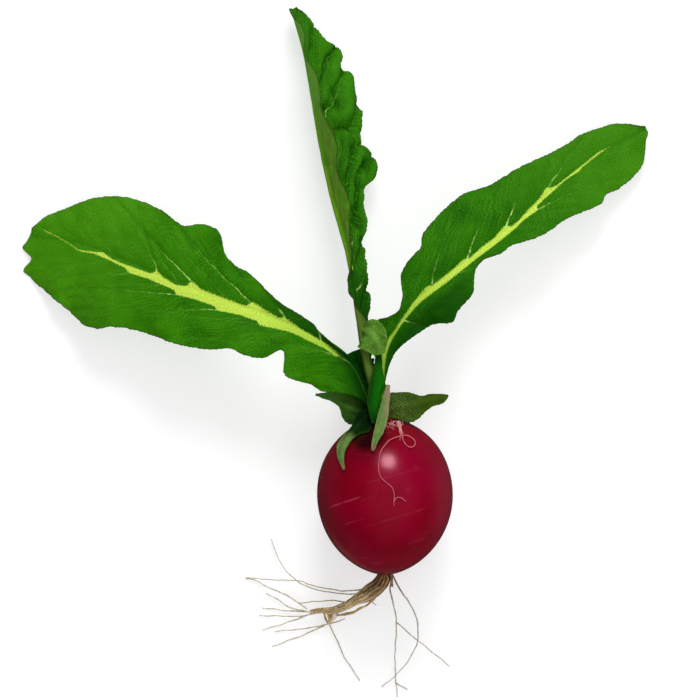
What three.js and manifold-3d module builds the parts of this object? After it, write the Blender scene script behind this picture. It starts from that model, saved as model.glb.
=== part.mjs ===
// A round red radish, pulled with its leaves and roots on, lying on its side.
//
// Millimetres, +Z up. Everything is laid out from the middle of the bulb's widest ring: +Y runs along
// the bulb's axis to the crown and the leaves, -Y to the root, and z = 0 is the surface it lies on.
// The last lines centre the footprint of the whole plant on the origin.
import * as THREE from "three";
import { mergeVertices } from "three/addons/utils/BufferGeometryUtils.js";
import Module from "manifold-3d";

const wasm = await Module();
wasm.setup();

// ---------------------------------------------------------------- driving dimensions
const BULB_RADIUS = 20.6;
const SHOULDER_LENGTH = 23.1; // widest ring to the top of the crown
const TAPER_LENGTH = 24; // widest ring to the tip where the root leaves
const SHOULDER_ROUNDNESS = 0.5; // 0.5 is an ellipse
const TAPER_ROUNDNESS = 0.57; // a little more pointed than an ellipse
const CROWN_FLAT_RADIUS = 2.6;
const CROWN_CUT = 0.15; // how much of the shoulder the flat crown takes off
const TIP_FLAT_RADIUS = 2.9;
const TIP_CUT = 0.5; // how much of the taper the flat tip takes off
const AXIS_HEIGHT = BULB_RADIUS; // the bulb rests on the surface

const BLADE_THICKNESS = 0.7;
const LEAST_HALF_BLADE = 0.5; // a blade is never narrower than this on either side
const COLUMN_CROWDING = 1.35; // over 1 puts narrower columns beside the midrib
const RIB_HALF_WIDTH = 1.1; // of the midrib that stands out under a blade
const ROOTLET_RADIUS = 0.27;
const FLOOR = 0;
const SHARED_CORNER = 1e-4; // corners closer than this are one

// ---------------------------------------------------------------- materials
const matte = (color, roughness) =>
  new THREE.MeshStandardMaterial({ color, roughness, metalness: 0 });
const SKIN = matte(0x86001b, 0.28);
const BLADE = matte(0x36790f, 0.65);
const YOUNG_BLADE = matte(0x4c6a2a, 0.7);
const ROOT = matte(0xa3875c, 0.8);
const FIBRE = matte(0xc8808a, 0.6);

// ---------------------------------------------------------------- curves and graded values
const mix = THREE.MathUtils.lerp;
const radians = THREE.MathUtils.degToRad;

// A smooth line through evenly spaced points, t from 0 to 1.
const curveThrough = (points) =>
  new THREE.CatmullRomCurve3(points.map((p) => new THREE.Vector3(...p)), false, "catmullrom", 0.5);

// A value that runs smoothly through [[t, value], ...], with t rising.
function graded(stops, t) {
  const last = stops.length - 1;
  const slope = (i) => {
    const a = stops[Math.max(i - 1, 0)];
    const b = stops[Math.min(i + 1, last)];
    return (b[1] - a[1]) / (b[0] - a[0]);
  };
  if (t <= stops[0][0]) return stops[0][1];
  if (t >= stops[last][0]) return stops[last][1];
  const i = stops.findIndex((stop) => stop[0] > t) - 1;
  const [t0, v0] = stops[i];
  const [t1, v1] = stops[i + 1];
  const span = t1 - t0;
  const f = (t - t0) / span;
  return (
    v0 * (1 + 2 * f) * (1 - f) ** 2 +
    slope(i) * span * f * (1 - f) ** 2 +
    v1 * f * f * (3 - 2 * f) +
    slope(i + 1) * span * f * f * (f - 1)
  );
}
const level = (value) => [[0, value], [1, value]];

// ---------------------------------------------------------------- solids
// Keeps the positions only, with shared corners, so that the surface is closed.
function closed(geometry) {
  const bare = geometry.clone();
  bare.deleteAttribute("normal");
  bare.deleteAttribute("uv");
  return mergeVertices(bare, SHARED_CORNER);
}

function toSolid(geometry) {
  const merged = closed(geometry);
  return new wasm.Manifold(
    new wasm.Mesh({
      numProp: 3,
      vertProperties: merged.attributes.position.array,
      triVerts: new Uint32Array(merged.index.array),
    }),
  );
}

function toGeometry(solid) {
  const mesh = solid.getMesh();
  const geometry = new THREE.BufferGeometry();
  geometry.setAttribute("position", new THREE.BufferAttribute(mesh.vertProperties, 3));
  geometry.setIndex(new THREE.BufferAttribute(mesh.triVerts, 1));
  geometry.computeVertexNormals();
  return geometry;
}

const joined = (geometries) =>
  toGeometry(geometries.map(toSolid).reduce((all, next) => all.add(next)));

function named(name, geometry, material) {
  const mesh = new THREE.Mesh(geometry, material);
  mesh.name = name;
  return mesh;
}

// ---------------------------------------------------------------- the bulb
function bulbRadiusAt(y) {
  return y > 0
    ? BULB_RADIUS * (1 - (y / SHOULDER_LENGTH) ** 2) ** SHOULDER_ROUNDNESS
    : BULB_RADIUS * (1 - (y / TAPER_LENGTH) ** 2) ** TAPER_ROUNDNESS;
}

// How high the bulb's upper side is over x, y, with a clearance: 0 beside the bulb.
function skinHeight(x, y, clearance) {
  const reach = bulbRadiusAt(y) + clearance;
  const over = Math.abs(x) < reach && y > -TAPER_LENGTH && y < SHOULDER_LENGTH;
  return over ? AXIS_HEIGHT + Math.sqrt(reach ** 2 - x * x) : 0;
}

// The point over x, y that stands clear of the bulb's skin.
const overSkin = (x, y, clearance) => [x, y, skinHeight(x, y, clearance)];

// Turned about its axis, with a small flat at the crown and one at the tip.
function bulb() {
  const rings = 26;
  const sides = 40;
  const [firstTurn, lastTurn] = [-0.475 * Math.PI, 0.465 * Math.PI]; // where the flats begin
  const tip = TIP_CUT - TAPER_LENGTH;
  const crown = SHOULDER_LENGTH - CROWN_CUT;
  const profile = [new THREE.Vector2(0, tip)];
  for (let i = 0; i <= rings; i++) {
    const turn = mix(firstTurn, lastTurn, i / rings);
    const y = Math.sin(turn) * (turn < 0 ? TAPER_LENGTH : SHOULDER_LENGTH);
    profile.push(new THREE.Vector2(bulbRadiusAt(y), y));
  }
  profile[1] = new THREE.Vector2(TIP_FLAT_RADIUS, tip);
  profile.push(new THREE.Vector2(CROWN_FLAT_RADIUS, crown), new THREE.Vector2(0, crown));
  const mesh = named("bulb", new THREE.LatheGeometry(profile, sides), SKIN);
  mesh.position.z = AXIS_HEIGHT;
  return mesh;
}

// ---------------------------------------------------------------- leaves
// A leaf is a flat box bent into shape. Its midrib follows a line through evenly spaced points from the
// crown to the tip. Each half blade has its own width along the leaf, its own rise from the leaf's
// plane, and a curl per millimetre of width. The roll turns the upper face from straight up to the
// right-hand side of someone who looks from the crown to the tip. A leaf with a drape lies over the bulb
// with that clearance.
const LEAF_DEFAULTS = {
  roll: level(0),
  riseLeft: level(8),
  riseRight: level(8),
  curl: level(0),
  wave: 0,
  waves: 5,
  stalk: [[0, 1.0], [0.25, 0.8], [1, 0.1]],
  rows: 12,
  columns: 6,
  thickness: BLADE_THICKNESS,
  drape: null,
};

function leafGeometry(leaf) {
  const line = curveThrough(leaf.midrib);
  const box = closed(new THREE.BoxGeometry(2, 1, 1, leaf.columns, leaf.rows, 1));
  const position = box.attributes.position;
  for (let i = 0; i < position.count; i++) {
    const across = position.getX(i);
    const t = position.getY(i) + 0.5;
    const upper = position.getZ(i) > 0;
    position.setXYZ(i, ...leafPoint(leaf, line, across, t, upper));
  }
  return box;
}

function leafPoint(leaf, line, across, t, upper) {
  const tangent = line.getTangent(t);
  const up = new THREE.Vector3(0, 0, 1).addScaledVector(tangent, -tangent.z).normalize();
  const right = tangent.clone().cross(up);
  const roll = radians(graded(leaf.roll, t));
  const face = up.clone().multiplyScalar(Math.cos(roll)).addScaledVector(right, Math.sin(roll));
  const side = right.clone().multiplyScalar(Math.cos(roll)).addScaledVector(up, -Math.sin(roll));

  const hand = Math.sign(across);
  const reach = Math.abs(across) ** COLUMN_CROWDING;
  const width = Math.max(graded(hand < 0 ? leaf.left : leaf.right, t), LEAST_HALF_BLADE);
  const out = reach * width;
  const rise = radians(graded(hand < 0 ? leaf.riseLeft : leaf.riseRight, t));
  const curl = radians(graded(leaf.curl, t));
  const lean = rise + (curl * out) / 2;
  const ripple = leaf.wave * reach ** 2 * Math.sin(2 * Math.PI * leaf.waves * t + hand);
  const slope = hand === 0 ? 0 : rise + curl * out;
  const skinward = face.clone()
    .multiplyScalar(Math.cos(slope))
    .addScaledVector(side, -hand * Math.sin(slope));
  const rib = graded(leaf.stalk, t) * Math.exp(-((out / RIB_HALF_WIDTH) ** 2));
  const half = leaf.thickness / 2;

  const point = line.getPoint(t)
    .addScaledVector(side, hand * out * Math.cos(lean))
    .addScaledVector(face, out * Math.sin(lean))
    .addScaledVector(skinward, ripple + (upper ? half : -half - rib));
  point.z = Math.max(point.z, upper ? FLOOR + leaf.thickness : FLOOR);
  if (leaf.drape !== null) {
    const outward = face.z > 0 === upper;
    const support = skinHeight(point.x, point.y, leaf.drape) + (outward ? leaf.thickness : 0);
    point.z = Math.max(point.z, support);
  }
  return point.toArray();
}

const leafOf = (settings) => leafGeometry({ ...LEAF_DEFAULTS, ...settings });

function leftLeaf() {
  return named("leaf_left", leafOf({
    rows: 44,
    columns: 8,
    midrib: [
      [-3.4, 24.2, 22.4], [-10.3, 39.2, 24], [-22.6, 48.1, 26], [-36.5, 54.1, 26.5], [-50.5, 59.2, 24.5],
      [-64.3, 64.5, 20], [-78.5, 70.3, 13.5], [-92.8, 75.6, 6.5], [-107.4, 77.6, 0.4],
    ],
    left: [
      [0, 0.6], [0.03, 1.1], [0.05, 2.6], [0.075, 7.2], [0.1, 11.6], [0.13, 12.6], [0.18, 12.8],
      [0.265, 13.8], [0.295, 7.8], [0.335, 12.2], [0.38, 13.4], [0.425, 13.3], [0.48, 15.9],
      [0.54, 17.2], [0.62, 17.6], [0.7, 19.2], [0.77, 22.4], [0.82, 21.4], [0.87, 19], [0.92, 17],
      [0.965, 14.2], [0.99, 11.6], [1, 10.6],
    ],
    right: [
      [0, 0.9], [0.1, 1.1], [0.18, 1.3], [0.22, 1.9], [0.26, 3.4], [0.34, 5], [0.38, 6.6], [0.44, 10.2],
      [0.485, 10.9], [0.52, 13.2], [0.555, 18.2], [0.585, 20], [0.62, 19.3], [0.655, 16.5], [0.7, 17.8],
      [0.75, 19.6], [0.8, 19], [0.86, 15.4], [0.92, 10.4], [0.97, 6.6], [1, 2.4],
    ],
    roll: [[0, -35], [0.15, -15], [0.35, 5], [1, 8]],
    riseLeft: [[0, 20], [0.3, 12], [1, 2]],
    riseRight: [[0, 4], [0.15, 8], [0.3, 14], [1, 4]],
    curl: [[0, -0.8], [0.5, -1.2], [1, -1.4]],
    wave: 1.1,
    waves: 6,
    stalk: [[0, 1.4], [0.3, 1], [1, 0.1]],
  }), BLADE);
}

function rightLeaf() {
  return named("leaf_right", leafOf({
    rows: 44,
    columns: 8,
    midrib: [
      [-0.9, 24.4, 20], [0.2, 43.3, 22.5], [7.6, 56.2, 25], [18.9, 65.6, 26.5], [30.7, 74.9, 25],
      [42.3, 84.2, 21], [53.2, 94.1, 14.5], [65.4, 102.7, 7], [79.2, 109.9, 0.4],
    ],
    left: [
      [0, 1], [0.06, 1.4], [0.1, 2.6], [0.15, 5.4], [0.18, 6.4], [0.2, 4.2], [0.23, 2.6], [0.26, 4.4],
      [0.29, 9.4], [0.34, 11.6], [0.365, 11.9], [0.39, 14.4], [0.46, 16.4], [0.53, 16.3], [0.59, 14.4],
      [0.66, 12.4], [0.73, 10.5], [0.78, 8.8], [0.81, 8.1], [0.86, 8], [0.93, 6.4], [1, 1],
    ],
    right: [
      [0, 0.8], [0.06, 0.8], [0.13, 3.2], [0.2, 6.4], [0.27, 9], [0.315, 11.8], [0.345, 10], [0.4, 8.4],
      [0.435, 3.8], [0.47, 2.8], [0.51, 4.4], [0.545, 4.6], [0.58, 6.2], [0.62, 8], [0.68, 9], [0.74, 11],
      [0.795, 12.3], [0.825, 11], [0.87, 11.9], [0.93, 10], [0.97, 6.6], [1, 2.4],
    ],
    roll: [[0, 10], [0.3, 4], [1, -4]],
    riseLeft: [[0, 32], [0.3, 14], [1, 3]],
    riseRight: [[0, 32], [0.3, 16], [1, 3]],
    curl: [[0, -0.6], [0.5, -1.2], [1, -1.5]],
    wave: 1,
    waves: 6.5,
    stalk: [[0, 1.4], [0.3, 1], [1, 0.1]],
  }), BLADE);
}

// The middle leaf stands on edge, folded along its midrib. A leaflet sits on its stalk.
function middleLeaf() {
  const blade = leafOf({
    rows: 44,
    columns: 8,
    midrib: [
      [-1.6, 24.4, 24.6], [-5.4, 41, 26.5], [-7.8, 56.4, 25], [-10.4, 71.7, 22.5], [-14.8, 87, 19.5],
      [-18.4, 102.3, 16.5], [-21.2, 117.6, 13.5], [-24, 132.9, 10], [-27.8, 146.4, 5.5],
    ],
    left: [
      [0, 0.6], [0.06, 0.8], [0.11, 1.9], [0.16, 2.7], [0.2, 2.4], [0.26, 1.2], [0.285, 3.2], [0.32, 3.4],
      [0.35, 3], [0.42, 8], [0.5, 11.5], [0.6, 14], [0.72, 14.5], [0.82, 12], [0.9, 8.5], [0.96, 4.5],
      [1, 0.8],
    ],
    right: [
      [0, 0.8], [0.17, 1.2], [0.22, 3.6], [0.26, 3.8], [0.3, 4], [0.35, 5], [0.4, 6.4], [0.45, 8.6],
      [0.5, 10.6], [0.535, 12.4], [0.56, 17], [0.605, 18], [0.635, 16.8], [0.655, 15], [0.7, 15.4],
      [0.74, 15.2], [0.775, 15.6], [0.8, 14.9], [0.824, 13.6], [0.834, 10.9], [0.86, 11.4], [0.885, 10.6],
      [0.898, 7.4], [0.93, 6.2], [0.965, 4.4], [1, 1],
    ],
    roll: [[0, 66], [0.25, 70], [0.6, 66], [0.85, 54], [1, 46]],
    riseLeft: [
      [0, 72], [0.1, 74], [0.2, 54], [0.265, 0], [0.29, -30], [0.325, -26], [0.36, 16], [0.4, 34],
      [0.6, 38], [0.77, 37], [0.85, 39], [1, 46],
    ],
    riseRight: [[0, 60], [0.25, 34], [0.6, 26], [1, 24]],
    curl: [[0, 0], [0.3, 0.4], [1, 0]],
    wave: 0.9,
    waves: 7,
    stalk: [[0, 1.4], [0.3, 1], [1, 0.1]],
  });
  const leaflet = leafOf({
    rows: 10,
    columns: 6,
    midrib: [[-6.6, 49.4, 26.6], [-4.6, 48.6, 30.4], [-2.6, 46.2, 31.4], [-1.4, 42.4, 29.4]],
    left: [[0, 2.4], [0.35, 5.4], [0.7, 4.8], [1, 2]],
    right: [[0, 2], [0.35, 5], [0.7, 4.6], [1, 2]],
    roll: level(180),
    riseLeft: level(-6),
    riseRight: level(-6),
    stalk: level(0.1),
  });
  return named("leaf_middle", joined([blade, leaflet]), BLADE);
}

// The small leaves of the rosette round the crown. Those that lie over the bulb follow its skin.
const ROSETTE = [
  {
    // points right, underside up
    name: "small_leaf_right",
    midrib: [[0.2, 25.2, 24.6], [4.4, 26.6, 26.4], [9, 27.2, 26.4], [14, 28.6, 25.4], [18.8, 29.9, 24.2]],
    left: [[0, 1.8], [0.25, 4.3], [0.45, 5], [0.58, 3.3], [0.73, 2.1], [0.88, 2], [0.94, 1.5], [1, 0.3]],
    right: [
      [0, 3.2], [0.12, 4.8], [0.25, 4.4], [0.5, 3.4], [0.62, 1.9], [0.72, 1.9], [0.88, 1.1], [1, 0.2],
    ],
    roll: level(178),
    riseLeft: level(-4),
    riseRight: level(-6),
    drape: 0.5,
  },
  {
    // points left under the big left leaf, underside up
    name: "small_leaf_left",
    midrib: [
      [-4.4, 24.4, 18.6], [-8.6, 25, 20], [-12.8, 27, 19.6], [-16.6, 29.1, 18.4], [-20.6, 30.1, 16.8],
    ],
    left: [[0, 2.4], [0.25, 4.6], [0.5, 4.2], [0.7, 2.4], [0.85, 1.2], [1, 0.3]],
    right: [[0, 1.2], [0.14, 2], [0.28, 3.4], [0.42, 3], [0.49, 1.6], [0.55, 0.7], [0.85, 0.7], [1, 0.3]],
    roll: level(180),
    riseLeft: level(-8),
    riseRight: level(-6),
  },
  {
    // bends down over the bulb's left shoulder
    name: "small_leaf_lower_left",
    midrib: [
      [-3.8, 25.4, 26], [-7.3, 21.8, 27.6], overSkin(-10.7, 17.6, 0.9), overSkin(-12.8, 12.9, 0.9),
      overSkin(-12, 7.6, 0.7),
    ],
    left: [[0, 1.4], [0.16, 2.4], [0.3, 1.6], [0.42, 1.4], [0.52, 1.9], [0.62, 2.3], [0.8, 1.5], [1, 0.3]],
    right: [[0, 1], [0.16, 3], [0.3, 3.4], [0.42, 2], [0.55, 1.5], [0.7, 1.4], [0.85, 0.9], [1, 0.3]],
    roll: [[0, 184], [0.25, 194], [0.6, 216], [1, 214]],
    riseLeft: level(-3),
    riseRight: level(-3),
    drape: 0.5,
  },
  {
    // folded round the front of the stalks, its tip on the bulb
    name: "small_leaf_front",
    midrib: [
      [0.9, 33, 29.4], [0.2, 28.2, 30.2], [-0.9, 23.2, 31.2], overSkin(-2.3, 18.2, 1.2),
      overSkin(-3.9, 13.2, 0.8),
    ],
    left: [[0, 0.4], [0.15, 0.9], [0.3, 1.3], [0.45, 1.6], [0.65, 1.5], [0.78, 1.2], [0.9, 0.8], [1, 0.3]],
    right: [[0, 0.4], [0.15, 0.9], [0.3, 1.2], [0.45, 1.6], [0.65, 1.5], [0.78, 1.1], [0.9, 0.6], [1, 0.3]],
    roll: level(176),
    riseLeft: level(-12),
    riseRight: level(-12),
    drape: 0.35,
  },
  {
    // stands up in front of the stalks, upper face out
    name: "small_leaf_upright",
    midrib: [[-3.6, 21.4, 30], [-3.5, 27, 29.2], [-2.8, 32.8, 28.6], [-2.2, 38.4, 28.2], [-2, 44.2, 27.2]],
    left: [[0, 0.4], [0.2, 1.6], [0.4, 2.1], [0.5, 1.9], [0.65, 1.5], [0.8, 1], [1, 0.6]],
    right: [[0, 0.4], [0.2, 1.8], [0.4, 2.4], [0.52, 2.7], [0.62, 2.4], [0.72, 1.5], [0.85, 1.2], [1, 0.6]],
    roll: level(4),
    riseLeft: level(-14),
    riseRight: level(-12),
    drape: 0.4,
  },
  {
    // behind the stalks, between the left and the middle leaf
    name: "small_leaf_back",
    midrib: [[-2.2, 24.4, 15.6], [-4.8, 31, 15], [-7.4, 37.4, 15.4], [-9.6, 43, 16.4]],
    left: [[0, 1.6], [0.3, 3.6], [0.65, 4.2], [0.9, 3.8], [1, 2.6]],
    right: [[0, 1.6], [0.3, 3.8], [0.5, 4], [0.65, 4.2], [0.85, 4.8], [1, 3.6]],
    roll: level(0),
    riseLeft: level(4),
    riseRight: level(4),
  },
  {
    // on the far side of the crown, over the bulb's underside
    name: "small_leaf_under",
    midrib: [[2, 24.2, 14.6], [3.6, 24.6, 10.6], [5.2, 21.8, 7.4], [6.6, 17.6, 4.4]],
    left: [[0, 1.2], [0.4, 2.6], [0.75, 2], [1, 0.4]],
    right: [[0, 1.2], [0.4, 2.6], [0.75, 2], [1, 0.4]],
    roll: level(0),
    riseLeft: level(4),
    riseRight: level(4),
  },
];

const smallLeaf = ({ name, ...shape }) => named(name, leafOf({ stalk: level(0.25), ...shape }), YOUNG_BLADE);

// ---------------------------------------------------------------- roots
const thinning = (from, to) => (t) => mix(from, to, t);

// A closed round tube along a line, with the radius that belongs to each t.
function root(points, radiusAt, { sides = 6, steps = 2 * points.length } = {}) {
  const line = curveThrough(points);
  const tube = closed(new THREE.CylinderGeometry(1, 1, 1, sides, steps));
  const position = tube.attributes.position;
  for (let i = 0; i < position.count; i++) {
    const t = position.getY(i) + 0.5;
    const tangent = line.getTangent(t);
    const aside = new THREE.Vector3(0, 0, 1).cross(tangent).normalize();
    const above = tangent.clone().cross(aside);
    const radius = radiusAt(t);
    const point = line.getPoint(t)
      .addScaledVector(aside, radius * position.getX(i))
      .addScaledVector(above, -radius * position.getZ(i));
    point.z = Math.max(point.z, FLOOR);
    position.setXYZ(i, ...point.toArray());
  }
  return tube;
}

const rootlet = (points) => root(points, thinning(1.3 * ROOTLET_RADIUS, ROOTLET_RADIUS));

// The thick brown tail, bent to the left and down to the surface, with its rootlets.
const TAIL = [
  [-0.5, -24.2, 20.2], [-0.9, -26.4, 19.7], [-2.7, -28.4, 17.5], [-5.7, -30.3, 14.2], [-9.1, -32, 10.6],
  [-12.6, -33.9, 7.6], [-16, -35, 5], [-19.5, -35, 3.6], [-22.8, -35.2, 2.6],
];
const TAIL_ROOTLETS = [
  [[-5.4, -29, 14.4], [-9.2, -29.8, 12], [-12.9, -29.9, 10], [-17.7, -29.3, 8], [-22.8, -27.9, 6],
    [-27, -25.8, 4.2], [-31.4, -20.6, 2.4], [-34.3, -13.4, 0.4]],
  [[-4.6, -28.6, 15.4], [-9.2, -28.8, 12.6], [-13.6, -28.9, 10.4], [-18.2, -28.2, 8], [-22.6, -27.1, 6],
    [-26.4, -26.1, 4.4], [-34.5, -25.7, 2], [-42, -25.3, 0.4]],
  [[-22.6, -35, 2.8], [-27.2, -32, 2.6], [-31.6, -29.5, 2], [-34.5, -28.5, 1.4], [-38.7, -26.2, 0.8],
    [-42, -25.4, 0.4]],
  [[-22.4, -35.2, 2.6], [-28.5, -34.2, 1.4], [-32.1, -32, 0.8], [-35.9, -29.9, 0.3]],
  [[-21.8, -35.5, 3], [-27.4, -35.4, 1.2], [-32.6, -34.8, 0.5], [-37.1, -34.4, 0.3]],
  [[-20.4, -35.8, 3.4], [-25.5, -36.8, 1.6], [-31, -36.8, 0.6], [-37.8, -36.7, 0.3]],
  [[-22, -35.9, 2.8], [-27, -37.9, 1.2], [-31.8, -39.5, 0.5], [-36.8, -41, 0.3]],
  [[-17.4, -35.6, 4.6], [-16.9, -37.6, 3], [-17.1, -39.3, 1.8], [-20.7, -39.9, 1.2], [-26.7, -40.8, 0.5],
    [-33.4, -41.4, 0.3]],
  [[-17, -38.4, 2.4], [-14.8, -43.4, 1], [-12.2, -49, 0.4], [-7.5, -56.3, 0.3]],
  [[-17.1, -39.1, 2], [-14.6, -38.6, 1.6], [-12, -37.5, 1.6]],
  [[-18.2, -39.6, 1.6], [-23.7, -42, 0.6], [-29, -44.2, 0.3], [-34.2, -46.1, 0.3]],
  [[-12, -33, 8.4], [-15.4, -31.9, 6.6], [-20, -32.2, 4.6], [-26, -32.9, 2.4]],
  [[-2.4, -28.4, 17], [-3.2, -31, 14], [-5, -33, 11.4], [-7.4, -34.4, 9.2], [-10.4, -35.8, 7.2],
    [-14.6, -36, 5.4]],
];

function tapRoot() {
  const girth = [[0, 1.9], [0.25, 2.4], [0.38, 2.1], [0.5, 1.6], [0.65, 1.2], [0.8, 1], [1, 0.5]];
  const tail = root(TAIL, (t) => graded(girth, t), { sides: 10, steps: 20 });
  return named("tap_root", joined([tail, ...TAIL_ROOTLETS.map(rootlet)]), ROOT);
}

// The thin strands that leave the tip on its right.
const RIGHT_STRANDS = [
  [[2.2, -24.9, 20.2], [1.5, -28, 17.6], [2.4, -32.1, 13.6], [3.4, -37.5, 9.4], [3.3, -43.5, 5.6],
    [3.1, -49.5, 2.6], [3.2, -55, 0.9], [3.8, -61.3, 0.3]],
  [[2.4, -24.9, 20.2], [4.5, -28.5, 17.6], [7.5, -32.7, 14.2], [9.6, -37.5, 10.6], [10, -42, 7.6],
    [9.2, -46.5, 5], [6.2, -51.2, 2.4], [2.7, -55.2, 1.2], [-0.9, -58.1, 0.3]],
  [[3.4, -38.4, 8.8], [9.9, -44, 4.2], [15.9, -48.9, 1.6], [19.5, -51.9, 0.3]],
  [[3.2, -56.7, 0.6], [5, -57.9, 0.3], [6.9, -59, 0.3]],
];

function sideRoot() {
  const stubPath = [[2.3, -24, 20.4], [2.25, -25.2, 20.1], [2.2, -26.4, 19.2]];
  const stub = root(stubPath, thinning(0.55, 0.35), { sides: 8 });
  return named("side_root", joined([stub, ...RIGHT_STRANDS.map(rootlet)]), ROOT);
}

// A loose hair of root that hangs from the crown, makes a loop and lies over the bulb.
const HAIR_PATH = [
  [4, 22.3], [4.7, 20], [5, 17.5], [6, 15.5], [7.5, 14.5], [8.8, 15], [8.9, 16.3], [7.7, 17.5], [6, 18],
  [3.5, 17.5], [1, 16.3], [-1, 13.7], [-1.9, 10.5], [-1.9, 7.5], [-1.3, 5.5], [0.2, 4.1], [2, 2.5],
  [2.6, 0.5], [2.6, -1.5], [2.6, -3],
];
const HAIR_FORK = [[2.6, -1.3], [3.5, -0.5], [4.7, -0.5], [6.2, -1.7]];

function looseHair() {
  // it loops over itself, so it stands further off there
  const clearance = [[0, 1.6], [0.12, 0.9], [0.25, 1.4], [0.45, 1.2], [0.55, 0.65], [1, 0.65]];
  const hair = HAIR_PATH.map(([x, y], i) => overSkin(x, y, graded(clearance, i / (HAIR_PATH.length - 1))));
  const fork = HAIR_FORK.map(([x, y]) => overSkin(x, y, 0.65));
  return named("loose_hair", joined([
    root(hair, thinning(0.3, 0.2), { sides: 5, steps: 44 }),
    root(fork, thinning(0.2, 0.2), { sides: 5 }),
  ]), FIBRE);
}

// ---------------------------------------------------------------- the plant
const radish = new THREE.Group();
radish.add(
  bulb(),
  tapRoot(),
  sideRoot(),
  leftLeaf(),
  middleLeaf(),
  rightLeaf(),
  ...ROSETTE.map(smallLeaf),
  looseHair(),
);

const footprint = new THREE.Box3().setFromObject(radish, true);
const middle = footprint.getCenter(new THREE.Vector3());
radish.position.set(-middle.x, -middle.y, -footprint.min.z);

export default radish;
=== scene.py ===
import math
import random
from dataclasses import dataclass

import bmesh
import bpy
from mathutils import Matrix, Vector, noise


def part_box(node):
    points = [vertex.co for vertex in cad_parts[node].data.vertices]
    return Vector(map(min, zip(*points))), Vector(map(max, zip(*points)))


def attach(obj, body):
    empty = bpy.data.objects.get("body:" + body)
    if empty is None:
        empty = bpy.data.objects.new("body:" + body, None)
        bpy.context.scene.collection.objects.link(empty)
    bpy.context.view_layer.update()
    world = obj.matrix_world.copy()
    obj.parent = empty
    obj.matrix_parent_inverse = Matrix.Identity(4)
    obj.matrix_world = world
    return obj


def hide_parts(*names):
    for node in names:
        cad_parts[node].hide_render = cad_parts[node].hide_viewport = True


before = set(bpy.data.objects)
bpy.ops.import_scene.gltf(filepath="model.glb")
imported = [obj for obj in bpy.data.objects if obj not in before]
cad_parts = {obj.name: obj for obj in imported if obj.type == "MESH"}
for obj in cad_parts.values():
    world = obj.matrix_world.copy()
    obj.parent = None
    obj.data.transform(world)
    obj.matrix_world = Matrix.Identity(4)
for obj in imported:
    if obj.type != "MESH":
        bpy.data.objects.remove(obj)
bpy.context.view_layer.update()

# A round red radish, pulled with its leaves and roots on, lying on its side.
#
# Every piece is shaped in millimetres from the middle of the bulb's widest ring: +y runs along the bulb
# to the crown and the leaves, -y to the root, and z = 0 is the surface it lies on. finished() then puts
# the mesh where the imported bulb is.

# ---------------------------------------------------------------- sizes
MM = 0.001
SHOULDER = 23.1  # widest ring to the top of the crown
TAPER = 24.0  # widest ring to the tip
SHOULDER_ROUNDNESS, TAPER_ROUNDNESS = 0.5, 0.57
CROWN_GAP = 0.15  # how much of the shoulder the flat crown takes off
bulb_low, bulb_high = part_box("bulb")
BULB_RADIUS = (bulb_high.x - bulb_low.x) / 2 / MM
AXIS = BULB_RADIUS  # height of the bulb's axis
ORIGIN = Vector(((bulb_low.x + bulb_high.x) / 2, bulb_high.y - (SHOULDER - CROWN_GAP) * MM, 0))
IN_PLACE = Matrix.Translation(ORIGIN) @ Matrix.Scale(MM, 4)

BLADE_THICKNESS = 0.36
LEAST_HALF_BLADE = 0.35
RIB_HALF_WIDTH = 0.8
RIB_DEPTH = 2.0  # the thickest that a blade is, over its midrib
PLANT_IOR = 1.45


# ---------------------------------------------------------------- small tools for shapes
def mix(a, b, share):
    return a + (b - a) * share


def graded(stops, t):
    """A value that runs smoothly through [(t, value), ...], with t rising. A plain number stays the same."""
    if isinstance(stops, (int, float)):
        return stops
    last = len(stops) - 1
    if t <= stops[0][0]:
        return stops[0][1]
    if t >= stops[last][0]:
        return stops[last][1]
    i = next(k for k, stop in enumerate(stops) if stop[0] > t) - 1
    (t0, v0), (t1, v1) = stops[i], stops[i + 1]
    span = t1 - t0
    f = (t - t0) / span
    return (v0 * (1 + 2 * f) * (1 - f) ** 2 + slope(stops, i) * span * f * (1 - f) ** 2
            + v1 * f * f * (3 - 2 * f) + slope(stops, i + 1) * span * f * f * (f - 1))


def slope(stops, i):
    before = stops[max(i - 1, 0)]
    after = stops[min(i + 1, len(stops) - 1)]
    return (after[1] - before[1]) / (after[0] - before[0])


def along(points, t):
    """The point at t, from 0 to 1, of a smooth line through evenly spaced points."""
    spans = len(points) - 1
    i = min(int(t * spans), spans - 1)
    f = t * spans - i
    p1, p2 = Vector(points[i]), Vector(points[i + 1])
    p0 = Vector(points[i - 1]) if i > 0 else 2 * p1 - p2
    p3 = Vector(points[i + 2]) if i + 2 <= spans else 2 * p2 - p1
    leave, arrive = (p2 - p0) / 2, (p3 - p1) / 2
    return (p1 + leave * f + (3 * (p2 - p1) - 2 * leave - arrive) * f ** 2
            + (2 * (p1 - p2) + leave + arrive) * f ** 3)


def ahead(points, t):
    step = 0.001
    return (along(points, min(t + step, 1)) - along(points, max(t - step, 0))).normalized()


def bell(distance, width):
    return math.exp(-(distance / width) ** 2)


def to_mesh(bm, name):
    mesh = bpy.data.meshes.new(name)
    bm.to_mesh(mesh)
    bm.free()
    return mesh


def into_scene(name, data):
    made = bpy.data.objects.new(name, data)
    bpy.context.scene.collection.objects.link(made)
    return made


def finished(name, mesh, finishes, slot, *nodes):
    """A piece in its place in the frame, with its finishes, standing for the CAD nodes named."""
    mesh.transform(IN_PLACE)
    mesh.shade_smooth()
    mesh.update()
    piece = into_scene(name, mesh)
    for finish in finishes:
        mesh.materials.append(finish)
    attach(piece, "root")
    if nodes:
        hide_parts(*nodes)
    return piece


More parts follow.
